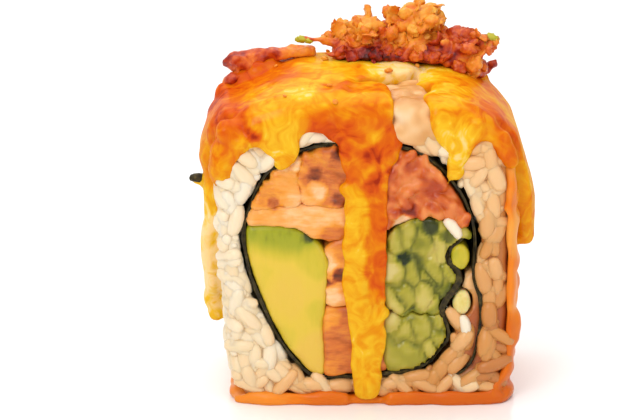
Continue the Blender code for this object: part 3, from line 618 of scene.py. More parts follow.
# %% Wet cucumber finish
# The wet cells, drawn 0.8 mm wide so that they show, give small broken highlights.
cucumber_finish, tree, place = new_finish("wet_cucumber", {
    "Roughness": 0.22, "IOR": 1.35, "Subsurface Weight": 0.4, "Subsurface Scale": 1.4 * MM,
    "Subsurface Radius": (0.7, 1.0, 0.4),
})
flesh = add_node(tree, "ShaderNodeValToRGB", {"stops": [
    (0.0, "d8c88c"), (0.3, "c4b258"), (0.55, "a79c34"), (0.8, "74741c"), (1.0, "1f2a0c")]},
    {"Fac": tone_of(tree)})
cells = add_node(tree, "ShaderNodeTexVoronoi", {"Scale": 1 / (0.8 * MM)}, {"Vector": place})
wet = add_node(tree, "ShaderNodeBump", {"Strength": 0.35, "Distance": 0.12 * MM},
               {"Height": cells.outputs["Distance"]})
dress(cucumber_finish, flesh, wet)

# %% [markdown]
# The cucumber is cut into thin sticks, packed side by side. Sticks could be modelled one by one,
# but they are squeezed out of shape. So points strewn over the cut stand for them: every place
# belongs to the nearest point, gets that stick's tone, and sinks where two sticks are as near, with
# painted shade there.

# %% Cucumber sticks
SKINS = [
    (5.3, -12.5, 21.5, 1.2, 1.0), (8.8, -12.5, 26.0, 1.7, 0.95), (3.6, -12.5, 19.6, 1.5, 0.1),
    (10.4, -12.5, 22.0, 1.8, 0.3), (7.6, -12.5, 23.6, 1.4, 0.72), (11.8, -12.5, 16.0, 1.5, 0.9),
    (8.6, -12.5, 15.2, 1.5, 0.25), (11.6, -12.5, 24.6, 1.2, 0.85), (7.0, -12.5, 6.6, 1.6, 0.75),
]
TALL = 0.5  # a stick is taller than it is wide, so heights count half
draw = random.Random(17)
STICKS = [
    (Vector((3.4 + 2.1 * i + 1.0 * (j % 2), 0, (5.6 + 4.6 * j) * TALL)) * MM
     + Vector((draw.uniform(-0.7, 0.7), 0, draw.uniform(-0.8, 0.8))) * MM, draw.uniform(0.3, 0.7))
    for i in range(6) for j in range(5)
]


def nearest_sticks(spot):
    """How much nearer the nearest stick is than the next one, and its own shade."""
    bend = Vector((ripple(spot, 3 * MM), 0, ripple(spot * 1.3, 3 * MM))) * 0.8 * MM
    flat = Vector((spot.x + 0.25 * (spot.z - 18 * MM), 0, spot.z * TALL)) + bend
    first, second = sorted(((flat - middle).length, shade) for middle, shade in STICKS)[:2]
    return second[0] - first[0], first[1]


def stick_grooves(spot, normal):
    """Each stick's end is a little domed, with a groove between it and the next."""
    if abs(normal.y) < 0.5:
        return 0
    return (0.2 - 0.5 * (1 - smooth_share(nearest_sticks(spot)[0], 0.0, 0.7 * MM))) * MM


def cucumber_tone(spot):
    """Each stick in its own tone, with painted shade in the grooves, and skin where the list has it.
    """
    between, shade = nearest_sticks(spot)
    # Painted shade: the tone rises, so the colour darkens, where two sticks meet.
    edge = 0.22 * (1 - smooth_share(between, 0.1 * MM, 0.7 * MM))
    return blotched(spot, shade + edge + 0.16 * ripple(spot, 1.2 * MM), SKINS)


print("sticks", len(STICKS))

# %% [markdown]
# The lower sticks have taken on the sauce's colour, so their tone is changed by a little. The upper
# and lower ones meet in a wavy line: near that height, one wave moves the faces of both pieces.

# %% Cucumber
JOINT = 13.3 * MM
for node, piece, slot, change in (
    ("cucumber", "cucumber_sticks", "cucumber", 0.02),
    ("cucumber_lower", "cucumber_low_sticks", "cucumber_stained", -0.14),
):
    sticks = reskinned(copy_of(node), VOXEL, 4)
    for vert in sticks.verts:
        to_joint = abs(vert.co.z - JOINT)
        wave = ripple(Vector((vert.co.x, vert.co.y * 0.3, 9 * MM)), 1.9 * MM)
        vert.co.z += 1.5 * MM * wave * (1 - smooth_share(to_joint, 0.8 * MM, 3 * MM))
    push(sticks, stick_grooves)
    push(sticks, lambda spot, normal: PRESSED + 0.12 * MM * ripple(spot, 1.3 * MM))
    paint(sticks, lambda spot, change=change: cucumber_tone(spot) + change)
    add_piece(piece, sticks, cucumber_finish, slot, node)

# %% [markdown]
# Grilled salmon is orange and browned at its edges, and juice and sauce make it shine. The finish
# runs from raw pale pink to burnt brown, and noise that is stretched along the flakes streaks it.

# %% Grilled salmon finish
# Firm muscle gives long streaks, and the juice in its grooves gives broken highlights.
fish_finish, tree, place = new_finish("grilled_salmon", {
    "Roughness": 0.34, "IOR": 1.42, "Subsurface Weight": 0.3, "Subsurface Scale": 1.0 * MM,
    "Subsurface Radius": (1.0, 0.5, 0.25),
})
level = add_node(tree, "ShaderNodeMapping", {"Scale": (0.35, 1.0, 1.2)}, {"Vector": place})
grain_marks = add_node(tree, "ShaderNodeTexNoise", {"Scale": 1 / (0.8 * MM), "Detail": 4.0},
                       {"Vector": level.outputs[0]})
streaks = add_node(tree, "ShaderNodeMath", {"operation": "MULTIPLY_ADD", 1: 0.5, 2: -0.25},
                   {0: grain_marks.outputs["Fac"]})
mixed = add_node(tree, "ShaderNodeMath", {"operation": "ADD", "use_clamp": True},
                 {0: tone_of(tree), 1: streaks.outputs[0]})
flesh = add_node(tree, "ShaderNodeValToRGB", {"stops": [
    (0.0, "f7c894"), (0.2, "f2a95a"), (0.42, "e8952c"), (0.62, "d0702c"), (0.82, "9c4410"),
    (1.0, "5c2408")]}, {"Fac": mixed.outputs[0]})
juicy = add_node(tree, "ShaderNodeBump", {"Strength": 0.8, "Distance": 0.25 * MM},
                 {"Height": grain_marks.outputs["Fac"]})
dress(fish_finish, flesh, juicy)

# %% [markdown]
# The salmon parts into flakes, so folds of noise raise slanting ridges on it. The pale stick of
# surimi under it and the shrimp in the middle have the same build, so one loop makes all of them,
# each with its own tone and its own size of flake.

# %% Salmon, surimi and shrimp
# Browned spots of grilling; the dark one at x -3.2 mm, z 36.6 mm is painted shadow.
BROWNED = [
    (-6.9, -12.5, 33.7, 1.5, 0.90), (-3.2, -12.5, 36.6, 1.4, 0.92), (-3.7, -12.5, 30.0, 1.3, 0.86),
    (-6.4, -12.5, 31.2, 1.6, 0.04), (-4.4, -12.5, 33.6, 2.2, 0.64), (-7.4, -12.5, 36.2, 1.8, 0.50),
    (-10.6, -12.5, 35.2, 2.2, 0.02), (-10.8, -12.5, 32.2, 2.2, 0.34), (-12.9, -12.5, 29.4, 1.3, 0.74),
    (-14.6, -12.5, 28.0, 1.9, 0.30), (-9.0, -12.5, 28.6, 3.0, 0.14), (-5.6, -12.5, 27.0, 2.2, 0.16),
    (-3.7, -12.5, 19.2, 1.1, 0.95), (-5.0, -12.5, 17.8, 0.9, 0.90), (-5.2, -12.5, 20.8, 1.6, 0.06),
    (-4.4, -12.5, 15.8, 1.7, 0.02), (-4.6, -12.5, 24.6, 2.2, 0.60), (-3.0, -12.5, 22.4, 1.6, 0.5),
    (-4.4, -12.5, 12.8, 1.8, 0.40), (-4.0, -12.5, 8.4, 2.0, 0.66), (-4.8, -12.5, 5.4, 1.6, 0.5),
]


def flaked(spot, normal, size, depth):
    """Ridges of flaked fish, which run at a slant across the cut."""
    slant = Vector((spot.x * 0.5 + spot.z * 0.9, spot.y * 0.4, spot.z * 0.4 - spot.x * 0.9))
    fold = abs(ripple(Vector((slant.x, slant.y, slant.z * 0.35)), size))
    return depth * (0.5 - 2 * fold) * MM


# Each has its piece's name, its slot, its tone, and the width and depth of its flakes.
fish = {
    "salmon_left": ("salmon_left_flakes", "salmon", 0.45, 1.3 * MM, 0.5),
    "salmon_right": ("salmon_right_flakes", "salmon", 0.58, 1.5 * MM, 0.7),
    "salmon_strip": ("salmon_strip_flakes", "salmon", 0.62, 2.0 * MM, 0.4),
    "crab_stick": ("surimi_stick", "crab_stick", 0.20, 1.2 * MM, 0.35),
    "shrimp": ("shrimp_piece", "shrimp", 0.30, 1.8 * MM, 0.5),
}
for node, (piece, slot, base, size, depth) in fish.items():
    skin = reskinned(copy_of(node), VOXEL, 4)
    push(skin, lambda spot, normal: PRESSED + flaked(spot, normal, size, depth))
    paint(skin, lambda spot: blotched(spot, base + 0.16 * ripple(spot, 1.6 * MM), BROWNED, 0.7))
    add_piece(piece, skin, fish_finish, slot, node)

# %% [markdown]
# The crab mix is shredded surimi in spicy sauce, red where the sauce is thick and pale where a
# shred is bare; the dark red at its upper left is painted shadow. It is wet all over, so its bumps
# are small and bright.

# %% Spicy crab finish
# Sauce over torn shreds gives a wet shine that is broken up by threads 0.6 mm apart.
crab_finish, tree, place = new_finish("spicy_crab", {
    "Roughness": 0.3, "IOR": 1.42, "Subsurface Weight": 0.25, "Subsurface Scale": 0.8 * MM,
    "Subsurface Radius": (1.0, 0.45, 0.2),
})
shreds = add_node(tree, "ShaderNodeValToRGB", {"stops": [
    (0.0, "f5cfa8"), (0.25, "e58f4a"), (0.5, "cf6526"), (0.75, "b04012"), (1.0, "701605")]},
    {"Fac": tone_of(tree)})
threads = add_node(tree, "ShaderNodeTexNoise", {"Scale": 1 / (0.6 * MM), "Detail": 4.0},
                   {"Vector": place})
torn = add_node(tree, "ShaderNodeBump", {"Strength": 0.5, "Distance": 0.15 * MM},
                {"Height": threads.outputs["Fac"]})
dress(crab_finish, shreds, torn)

# %% [markdown]
# The shreds are short torn threads in a clump. Hair curves could make them, but the sauce has glued
# them together. So small copies of the grain shapes are strewn over both cut ends of the solid, and
# one remesh fuses them with it.

# %% Spicy crab mix
# Blotches of spicy sauce; the first, dark red at the upper left, is painted shadow.
SPICE = [
    (1.4, -12.5, 34.0, 2.6, 0.98), (2.0, -12.5, 30.6, 1.6, 0.85), (6.0, -12.5, 28.2, 1.4, 0.98),
    (5.2, -12.5, 26.2, 1.9, 0.05), (9.6, -12.5, 35.2, 1.9, 0.3), (6.0, -12.5, 32.0, 2.0, 0.35),
    (9.4, -12.5, 31.4, 1.8, 0.75), (9.4, -12.5, 27.6, 1.6, 0.3), (12.2, -12.5, 27.2, 1.8, 0.4),
]
crab = reskinned(copy_of("crab_mix"), VOXEL, 0)
room = random.Random(21)
loose_threads = [
    lying(spot, normal, room, 0.5, room.uniform(-0.5, 0.3) * MM)
    for spot, normal in random_places(crab, 1.25 * MM, 5000, 22) if abs(normal.y) > 0.8
]
print("threads of crab", len(loose_threads))
crab = reskinned(with_grains(crab, loose_threads, 23, grow=0.62), FINE_VOXEL, 2)
push(crab, lambda spot, normal: 0.12 * MM + 0.12 * MM * ripple(spot, 0.8 * MM))
paint(crab, lambda spot: blotched(spot, 0.52 + 0.4 * ripple(spot, 1.1 * MM), SPICE, 0.8))
add_piece("crab_shreds", crab, crab_finish, "crab_mix", "crab_mix")

# %% [markdown]
# The pale bit in the lower curl of nori is read as pickled radish: wet, half clear and nearly even
# in colour. A cloudy noise between two yellows is enough, because it is only 2 mm wide.

# %% Pickled radish
# Brine gives it a smooth, bright shine.
radish_finish, tree, place = new_finish("pickled_radish", {
    "Roughness": 0.25, "IOR": 1.36, "Subsurface Weight": 0.4, "Subsurface Scale": 1.0 * MM,
})
cloudy = add_node(tree, "ShaderNodeTexNoise", {"Scale": 1 / (1.5 * MM)}, {"Vector": place})
pale = add_node(tree, "ShaderNodeValToRGB", {"stops": [(0.3, "d9c36a"), (0.7, "efe3a8")]},
                {"Fac": cloudy.outputs["Fac"]})
dress(radish_finish, pale)
radish = reskinned(copy_of("radish_sliver"), FINE_VOXEL, 3)
push(radish, lambda spot, normal: PRESSED + 0.1 * MM * ripple(spot, MM))
add_piece("radish_strip", radish, radish_finish, "pickled_radish", "radish_sliver")

# %% [markdown]
# The sauces are thick mayonnaise, one yellow and one orange with chilli. Light goes a little way
# into them. Where they touch they marble, so one finish serves both: it goes from a pale film over
# rice through yellow and orange to red oil, and a distorted noise draws swirls into it.

# %% Thick sauce finish
# Egg and oil give a soft body under a thin, smooth coat that holds the highlights.
sauce_finish, tree, place = new_finish("thick_sauce", {
    "Roughness": 0.4, "IOR": 1.45, "Specular IOR Level": 0.0, "Subsurface Weight": 0.3,
    "Subsurface Scale": 0.7 * MM, "Subsurface Radius": (1.0, 0.5, 0.12),
    "Coat Weight": 0.22, "Coat Roughness": 0.2, "Coat IOR": 1.45,
})
swirl = add_node(tree, "ShaderNodeTexNoise", {
    "Scale": 1 / (3.0 * MM), "Detail": 3.0, "Distortion": 1.8}, {"Vector": place})
marbling = add_node(tree, "ShaderNodeMath", {"operation": "MULTIPLY_ADD", 1: 0.8, 2: -0.39},
                    {0: swirl.outputs["Fac"]})
mixed = add_node(tree, "ShaderNodeMath", {"operation": "ADD", "use_clamp": True},
                 {0: tone_of(tree), 1: marbling.outputs[0]})
sauce_colour = add_node(tree, "ShaderNodeValToRGB", {"stops": [
    (0.0, "f2d090"), (0.18, "e8b824"), (0.4, "e0920c"), (0.6, "d86c08"), (0.8, "cc4c0a"),
    (1.0, "9c2604")]}, {"Fac": mixed.outputs[0]})
dress(sauce_finish, sauce_colour)

# %% [markdown]
# The marbling follows how the sauces were squeezed on. So a list of blotches over the whole roll
# gives the large patches, and the noise in the finish stirs them. The darkest red blotches on the
# cut, beside the crab mix, are painted shadow. The run down the cut is yellow at its left and orange
# at its right.

# %% Marbling
# Marbling blotches; the darkest red ones on the cut at x 0.9 to 1.9 mm and z 31 to 37 mm, beside the
# crab mix, are painted shadow.
MARBLED = [
    (-20.0, -7.0, 39.0, 6.5, 0.82), (-20.0, 3.0, 40.0, 6.0, 0.84), (-16.0, 5, 45, 5.0, 0.70),
    (-11.5, 9.0, 45, 5.0, 0.70), (-12.0, 0.5, 45.5, 5.0, 0.66), (-15.6, -6, 44, 3.0, 0.40),
    (-11.6, -13, 39.0, 4.4, 0.20), (-9.0, -9.6, 44.5, 3.2, 0.18), (-15.6, -13, 39.6, 1.7, 0.94),
    (-4.6, 3, 46, 6.5, 0.28), (-3.4, -8.5, 45.5, 3.4, 0.56), (-5.6, -13, 40.2, 3.4, 0.76),
    (-2.8, -13, 38.8, 3.2, 0.80), (2.6, -9, 45.6, 3.0, 0.58), (0.8, -13.4, 42.0, 2.8, 0.60),
    (0.9, -13.5, 36.8, 2.6, 1.0), (-1.8, -13.5, 33.6, 2.4, 0.62), (1.6, 1, 46, 4.5, 0.42),
    (12.6, -13, 37.0, 4.6, 0.18), (10.5, -8, 43.5, 3.0, 0.30), (10.0, 0, 45, 3.5, 0.28),
    (15.0, -2, 45, 4, 0.52), (19.2, -9, 41, 5.5, 0.70), (18.5, 5, 42, 5, 0.62),
    (16.6, -12, 38.0, 2.2, 0.66), (23.0, -6, 29, 7, 0.46), (23.0, 6, 30, 7, 0.50),
    (-22.6, 0, 19, 12, 0.0), (5.2, 2.0, 45.0, 5.2, 0.0), (-22.6, -4, 36, 5, 0.50),
    (-18.4, -11.0, 40.4, 3.6, 0.76), (1.6, -13.5, 33.6, 1.9, 0.98), (1.9, -13.5, 31.0, 1.5, 0.80),
    (19.2, -12.6, 37.2, 3.0, 0.62), (3.6, -13.2, 38.4, 2.6, 0.74),
]


def sauce_tone(spot):
    """Yellow at the left of the run down the cut and orange at its right, blotched elsewhere."""
    tone = blotched(spot, 0.38 + 0.1 * ripple(spot, 3 * MM), MARBLED, 1.4, 0.5)
    low = 1 - smooth_share(spot.z, 29 * MM, 33 * MM)
    if spot.y > -10 * MM or abs(spot.x) > 5 * MM:
        return tone
    orange = smooth_share(spot.x + 0.9 * MM * ripple(spot, 3 * MM), 0.0, 1.0 * MM)
    orange *= smooth_share(spot.z, 14.5 * MM, 17.5 * MM)
    stripe = 0.30 + 0.36 * orange + 0.06 * ripple(spot, 2 * MM)
    return tone + (stripe - tone) * low


print("blotches", len(MARBLED))

# %% [markdown]
# Sauce slumps: its rims round off, its drips end in a bead, and the rice below shows as soft bumps.
# A liquid simulation would be slow and hard to steer. So the solids, the grains under them and some
# drops are fused by a remesh, and the skin is let out and fused again, which fills its creases. It
# is a little thicker over the left shoulder and at the end of the left drip.

# %% Sauces
SEAM = 0.35 * MM  # how far the skin is let out before the second remesh
# Drops that close gaps and round off corners: their middle and radius in mm.
DROPS = [
    (-20.7, 0.9, 11.8, 1.6), (22.2, -6.2, 24.6, 1.0), (-12.0, -13.0, 35.2, 0.9),
    (12.7, -13.0, 33.9, 1.0), (0.4, -13.3, 3.0, 1.1), (2.0, -13.2, 16.0, 0.8),
    (-1.4, 13.0, 31.6, 0.9), (22.2, 5.2, 32.0, 0.9), (-18.8, -12.2, 33.0, 0.9),
    (-20.4, 1.0, 9.8, 1.25), (22.6, -6.6, 23.8, 1.2),
    (2.5, -13.1, 13.4, 0.9), (-2.6, -13.1, 31.6, 0.9), (-16.8, 7.0, 42.4, 1.8),
    (-13.6, 8.4, 44.4, 1.4), (-19.0, 6.0, 40.6, 1.6), (-15.3, 7.4, 44.0, 1.5),
    (-4.2, -12.2, 40.9, 1.5), (-3.5, -12.2, 42.6, 1.4), (-3.5, -10.8, 44.2, 1.2),
    (-3.3, -8.8, 44.5, 1.1), (-2.6, -6.6, 44.6, 1.0), (-2.2, -4.8, 44.6, 1.0),
    (-4.2, -12.7, 39.5, 1.2), (-18.3, -12.2, 39.6, 1.6), (-17.2, -13.0, 38.1, 1.3),
    (17.4, 10.0, 42.3, 1.0), (8.6, -0.2, 44.4, 1.0), (12.3, -13.0, 35.3, 1.1),
    (17.4, -12.0, 39.3, 1.6), (18.8, -12.1, 38.3, 1.6), (19.6, -12.1, 36.7, 1.4),
    (20.3, -12.0, 35.4, 1.1), (3.7, -12.5, 39.4, 1.3), (4.0, -12.7, 37.8, 1.2),
    (3.5, -12.8, 36.2, 1.0),
]


def slumped(nodes, grains, lift, rounds):
    """One skin round some sauce solids, the grains under them, and the drops that hang on them."""
    bm = copy_of(*nodes)
    lifted = [Matrix.Translation(g.to_3x3() @ Vector((0, 0, lift))) @ g for g in grains]
    with_grains(bm, lifted, 31)
    for x, y, z, radius in DROPS if len(nodes) > 1 else ():
        drop = bmesh.ops.create_icosphere(bm, subdivisions=3, radius=radius * MM)["verts"]
        bmesh.ops.translate(bm, verts=drop, vec=Vector((x, y, z)) * MM)
    thick = reskinned(bm, VOXEL, 0)
    push(thick, lambda spot, normal: SEAM)
    skin = reskinned(thick, 0.35 * MM, rounds)
    push(skin, lambda spot, normal: 0.12 * MM * ripple(spot, 3.2 * MM) - 0.6 * SEAM)
    for vert in skin.verts:
        on_cut = vert.co.y < -11.5 * MM and abs(vert.co.x) < 17 * MM
        if on_cut and vert.co.z > 4 * MM:
            wander = ripple(Vector((7, 3, vert.co.z / MM)), 4.0) + 0.5 * ripple(vert.co, 1.6 * MM)
            vert.co.x += 0.45 * MM * wander
    return skin


def bumps_through(grain):
    """Grains show through the sauce where it is thin: neither in the run nor in the left drip."""
    x, y, z = grain.translation / MM
    return abs(x) > 4 and not (x < -17 and z < 31)


def spread(spot, normal):
    """The sauce is thickest over the left shoulder and at the end of the left drip."""
    outer = smooth_share(-spot.x, 17 * MM, 20 * MM) * min(max(-1.3 * normal.x, 0), 1)
    above = smooth_share(spot.z, 31 * MM, 34 * MM)
    below = 1 - smooth_share(spot.z, 21 * MM, 25 * MM)
    return 0.9 * MM * outer * max(above, below)


sauces = slumped(SAUCES, [g for g in top_sauce if bumps_through(g)], 0.35 * MM, 7)
push(sauces, spread)
paint(sauces, sauce_tone)
dusting = [
    (spot, normal) for spot, normal in random_places(sauces, 5.5 * MM, 2500, 33)
    if normal.z > 0.75 and spot.z > 42 * MM
]
add_piece("marbled_sauce", sauces, sauce_finish, "yellow_sauce", *SAUCES)

# %% [markdown]
# A black sesame seed sticks to the sauce on the left flank. Its solid is fused to that sauce, so
# only its dark hull is added: one grain shape, made smaller, in the same near black as the nori.

# %% Black sesame seed
seed = bmesh.new()
add_copy(seed, grain_shapes[0], put_at(-23.4, 0.6, 29.5)
         @ Matrix.Rotation(0.12, 4, "Y") @ Matrix.Diagonal((0.70, 0.80, 0.72, 1)), 0)
add_piece("black_sesame", seed, nori_finish, "nori")

# %% [markdown]
# The roll has stood in orange sauce, which soaks into its right flank and its foot. It is thinner
# than the sauce on top, and the grains of the flank swell through it. So it gets its own finish and
# a skin that is made in the same way, flat where it meets the ground. Its dark front foot at the
# right is partly painted shade.

# %% Orange coat
# Thin sauce over wet rice gives a dull shine and an uneven colour.
soaked_finish, tree, place = new_finish("soaked_in_sauce", {
    "Roughness": 0.32, "IOR": 1.42, "Specular IOR Level": 0.25, "Subsurface Weight": 0.3,
    "Subsurface Scale": 0.7 * MM, "Subsurface Radius": (1.0, 0.5, 0.12),
})
soaked = add_node(tree, "ShaderNodeValToRGB", {"stops": [
    (0.0, "f0bc68"), (0.3, "ec9c3c"), (0.55, "e67c14"), (0.8, "cc5e12"), (1.0, "a04010")]},
    {"Fac": tone_of(tree)})
dress(soaked_finish, soaked)

# Blotches of soaked sauce; the large dark one across the front foot at the right is partly painted
# shade.
SOAKED = [
    (14, -13, 1.5, 14, 0.78), (20.5, -11, 6, 5, 0.68), (21, -12, 17, 3, 0.5),
    (21, -12, 25, 4, 0.3), (-14, -13, 1.5, 10, 0.45), (-5, -13, 1.5, 6, 0.70),
]
on_flank = [g for g in top_coat if g.translation.x > 18.5 * MM and abs(g.translation.y) < 11 * MM]
coat = slumped(["orange_coat"], on_flank, 0.75 * MM, 4)
push(coat, lambda spot, normal: 0.3 * MM * ripple(spot, 3 * MM))
for vert in coat.verts:
    vert.co.z = max(vert.co.z, 0)
paint(coat, lambda spot: blotched(spot, 0.52 + 0.25 * ripple(spot, 2.5 * MM), SOAKED, 1.4, 0.5))
add_piece("orange_flank", coat, soaked_finish, "orange_sauce", "orange_coat")

# %% [markdown]
# The crumbs are tempura batter and slivers of shallot, fried until they puff and curl. Each kind
# needs only a few shapes, because every copy is turned another way. A lump is a low sphere that
# noise puffs up. A flake is a grid with a torn outline, bent round and given a thin wall.

# %% Crumb shapes


def lump_shape(seed, stretch):
    """A rough drop of batter: a low sphere with bubbles and hollows."""
    bm = bmesh.new()
    bmesh.ops.create_icosphere(bm, subdivisions=3, radius=0.5)
    shift = Vector((seed * 7.3, 0, 0))
    for vert in bm.verts:
        hollow = abs(noise.noise(vert.co * 3.1 + shift))
        vert.co *= 0.82 + 0.6 * hollow + 0.25 * noise.noise(vert.co * 6 + shift)
    bmesh.ops.scale(bm, verts=bm.verts, vec=stretch)
    return mesh_of(bm, "lump")


def flake_shape(seed, width, curl):
    """A curled flake or sliver: a grid bent round, with a torn outline and a thin wall."""
    bm = bmesh.new()
    bmesh.ops.create_grid(bm, x_segments=10, y_segments=4, size=0.5)
    shift = Vector((0, seed * 5.1, 0))
    for vert in bm.verts:
        x, y = vert.co.x, vert.co.y
        torn_edge = 1 + 0.7 * noise.noise(Vector((x * 6, y * 2, 0)) + shift)
        y *= width * torn_edge * (1.15 - 1.8 * x * x)
        turn = x * curl
        vert.co = Vector((math.sin(turn) / curl, y, (1 - math.cos(turn)) / curl))
        vert.co += 0.10 * noise.noise_vector(vert.co * 5 + shift)
    bmesh.ops.solidify(bm, geom=bm.faces[:], thickness=0.09)
    bmesh.ops.recalc_face_normals(bm, faces=bm.faces[:])
    return mesh_of(bm, "flake")


lump_shapes = [lump_shape(seed, (1, 0.8, 0.7)) for seed in range(5)]
flake_shapes = [flake_shape(seed, 0.6, 1.2 + 0.7 * seed) for seed in range(4)]
sliver_shapes = [flake_shape(seed + 9, 0.22, 1.4 + 0.8 * seed) for seed in range(4)]
print("faces a lump", len(lump_shapes[0].polygons), "a flake", len(flake_shapes[0].polygons))

# %% [markdown]
# Fried batter is glassy and full of blisters, golden where it is thin and red-brown where it lay in
# the oil longest. Noise as wide as the blisters, 0.8 mm, changes both its tone and its bumps.

# %% Fried batter finish
# A film of oil on a hard crust gives small sharp highlights on the blisters.
crumb_finish, tree, place = new_finish("fried_batter", {
    "Roughness": 0.38, "IOR": 1.47, "Specular IOR Level": 0.4, "Subsurface Weight": 0.15,
    "Subsurface Scale": 0.5 * MM, "Subsurface Radius": (1.0, 0.5, 0.15),
})
blisters = add_node(tree, "ShaderNodeTexNoise", {"Scale": 1 / (0.8 * MM), "Detail": 4.0},
                    {"Vector": place})
patchy = add_node(tree, "ShaderNodeMath", {"operation": "MULTIPLY_ADD", 1: 0.7, 2: -0.35},
                  {0: blisters.outputs["Fac"]})
mixed = add_node(tree, "ShaderNodeMath", {"operation": "ADD", "use_clamp": True},
                 {0: tone_of(tree), 1: patchy.outputs[0]})
toasting = add_node(tree, "ShaderNodeValToRGB", {"stops": [
    (0.0, "f4b648"), (0.25, "ec9426"), (0.5, "dc6c1c"), (0.7, "be4010"), (0.88, "8c1808"),
    (1.0, "500a06")]}, {"Fac": mixed.outputs[0]})
crisp = add_node(tree, "ShaderNodeBump", {"Strength": 0.7, "Distance": 0.2 * MM},
                 {"Height": blisters.outputs["Fac"]})
dress(crumb_finish, toasting, crisp)

# %% [markdown]
# The toasting is painted, golden on its lumps, with blotches where the photo shows them. The dark
# band at the foot of the heap is painted shadow. Folds of noise in two sizes raise sharp blisters on
# whatever is fried.

# %% Toasting and blisters
HEAP_FOOT = 45.6 * MM  # where the heap meets the sauce
# Toasting blotches; the two dark ones low at the front, at z 46 mm, are painted shadow.
TOASTED = [
    (-0.3, 8, 50.6, 3.4, 0.22), (3.6, 7.5, 49.0, 2.6, 0.56), (7.8, 8, 52.0, 4.6, 0.20),
    (13.8, 7.0, 48.8, 4.0, 0.68), (0.5, 4.5, 46.0, 3.2, 1.0), (9.6, 4.0, 46.0, 2.4, 0.80),
    (10.4, 4.6, 48.2, 1.6, 0.76), (5.6, 8, 52.4, 1.0, 0.98), (15.4, 5, 44.8, 2.8, 0.28),
    (-8.4, 8, 48.4, 1.4, 0.72),
]


def toast(spot):
    """Darker at the foot of the heap as painted shadow, golden on its lumps."""
    # Painted shadow: the tone rises towards the foot of the heap, which darkens it.
    low = 0.80 - 0.45 * smooth_share(spot.z, HEAP_FOOT, HEAP_FOOT + 3.5 * MM)
    return blotched(spot, low, TOASTED)


def blistered(spot, normal):
    """Sharp ridges round hollows, in two sizes."""
    wide = 0.5 - 2 * abs(ripple(spot, 2.4 * MM))
    fine = 0.5 - 2 * abs(ripple(spot, 1.0 * MM))
    return (0.55 * wide + 0.25 * fine) * MM


print("blotches of toasting", len(TOASTED))

# %% [markdown]
# The heap has four round balls of batter, with flakes and slivers between them. Crumbs that are
# dropped by a simulation would never lie like these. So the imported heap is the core, a large lump
# is set at each ball, and small lumps, flakes and slivers are strewn over the rest. The smallest
# crumbs are dusted over the sauce in front of the heap.

# %% Heap of crumbs


def strew(bm, shapes, places, sizes, seed, tilt, sink, paler=0.0):
    """Adds one of the shapes at each place, turned at random, with its own size and toasting."""
    rng = random.Random(seed)
    for spot, normal in places:
        size = rng.uniform(*sizes) * MM
        turn = lying(spot, normal, rng, tilt, sink * size) @ Matrix.Scale(size, 4)
        add_copy(bm, rng.choice(shapes), turn, toast(spot) - paler + rng.uniform(-0.16, 0.16))


# The middle of each ball and its width, in mm.
BALLS = [(0.4, 8.0, 50.2, 5.2), (4.3, 7.4, 48.9, 4.4), (8.2, 8.0, 51.2, 4.6), (14.0, 7.6, 48.8, 5.0)]


def rounded(spot):
    """Nothing is added to the thin strand at the left, or to what stands out over its ball."""
    return spot.x > -4.8 * MM and not (spot.x < 3.4 * MM and spot.z > 51.4 * MM)


def off_the_balls(place):
    """Flakes and slivers stay off the round tops of the balls, and off the low right end."""
    if place[0].x > 13.6 * MM and place[0].z < 47.4 * MM:
        return False
    return all(
        (place[0] - Vector(ball[:3]) * MM).length > 0.5 * ball[3] * MM or place[0].z < ball[2] * MM
        for ball in BALLS
    )


heap = reskinned(copy_of("crisps"), VOXEL, 4)
lump_places, flake_places, sliver_places = [
    [(spot, normal) for spot, normal in random_places(heap, gap * MM, 5000, seed) if rounded(spot)]
    for gap, seed in ((2.1, 41), (2.4, 42), (3.4, 45))
]
push(heap, blistered)
paint(heap, lambda spot: toast(spot) + 0.4 * ripple(spot, 1.6 * MM))
for number, (x, y, z, size) in enumerate(BALLS):
    turn = put_at(x, y, z) @ Matrix.Rotation(number, 4, "Z")
    add_copy(heap, lump_shapes[number], turn @ Matrix.Scale(size * MM, 4), toast(turn.translation))
strew(heap, lump_shapes, lump_places, (1.2, 2.8), 43, 0.8, 0.02)
strew(heap, flake_shapes, filter(off_the_balls, flake_places), (2.0, 3.4), 44, 1.0, 0.06)
strew(heap, sliver_shapes, filter(off_the_balls, sliver_places), (2.4, 3.8), 46, 1.0, 0.10)
strew(heap, lump_shapes, dusting, (0.5, 1.1), 47, 0.5, 0.3, paler=0.5)
add_piece("crumb_heap", heap, crumb_finish, "fried_crumbs", "crisps")

# %% [markdown]
# A bit of spring onion lies at each end of the heap. Each is two small lumps in the avocado's
# finish, painted as green as its rim, because both are wet and green.

# %% Spring onion
bits = bmesh.new()
for x, y, z, size in (
    (-9.0, 8.0, 48.5, 1.6), (-7.9, 7.8, 48.3, 1.2), (18.3, 7.4, 48.8, 2.2), (17.7, 7.0, 48.0, 1.5),
):
    add_copy(bits, lump_shapes[1], put_at(x, y, z) @ Matrix.Scale(size * MM, 4), 0.7)
add_piece("spring_onion_bits", bits, avocado_finish, "avocado_rim")

# %% [markdown]
# A strip of shallot, fried in the same batter, lies at the left of the top. Three lumps are fused to
# its solid for the knots in it, and it is darkest at its outer end.

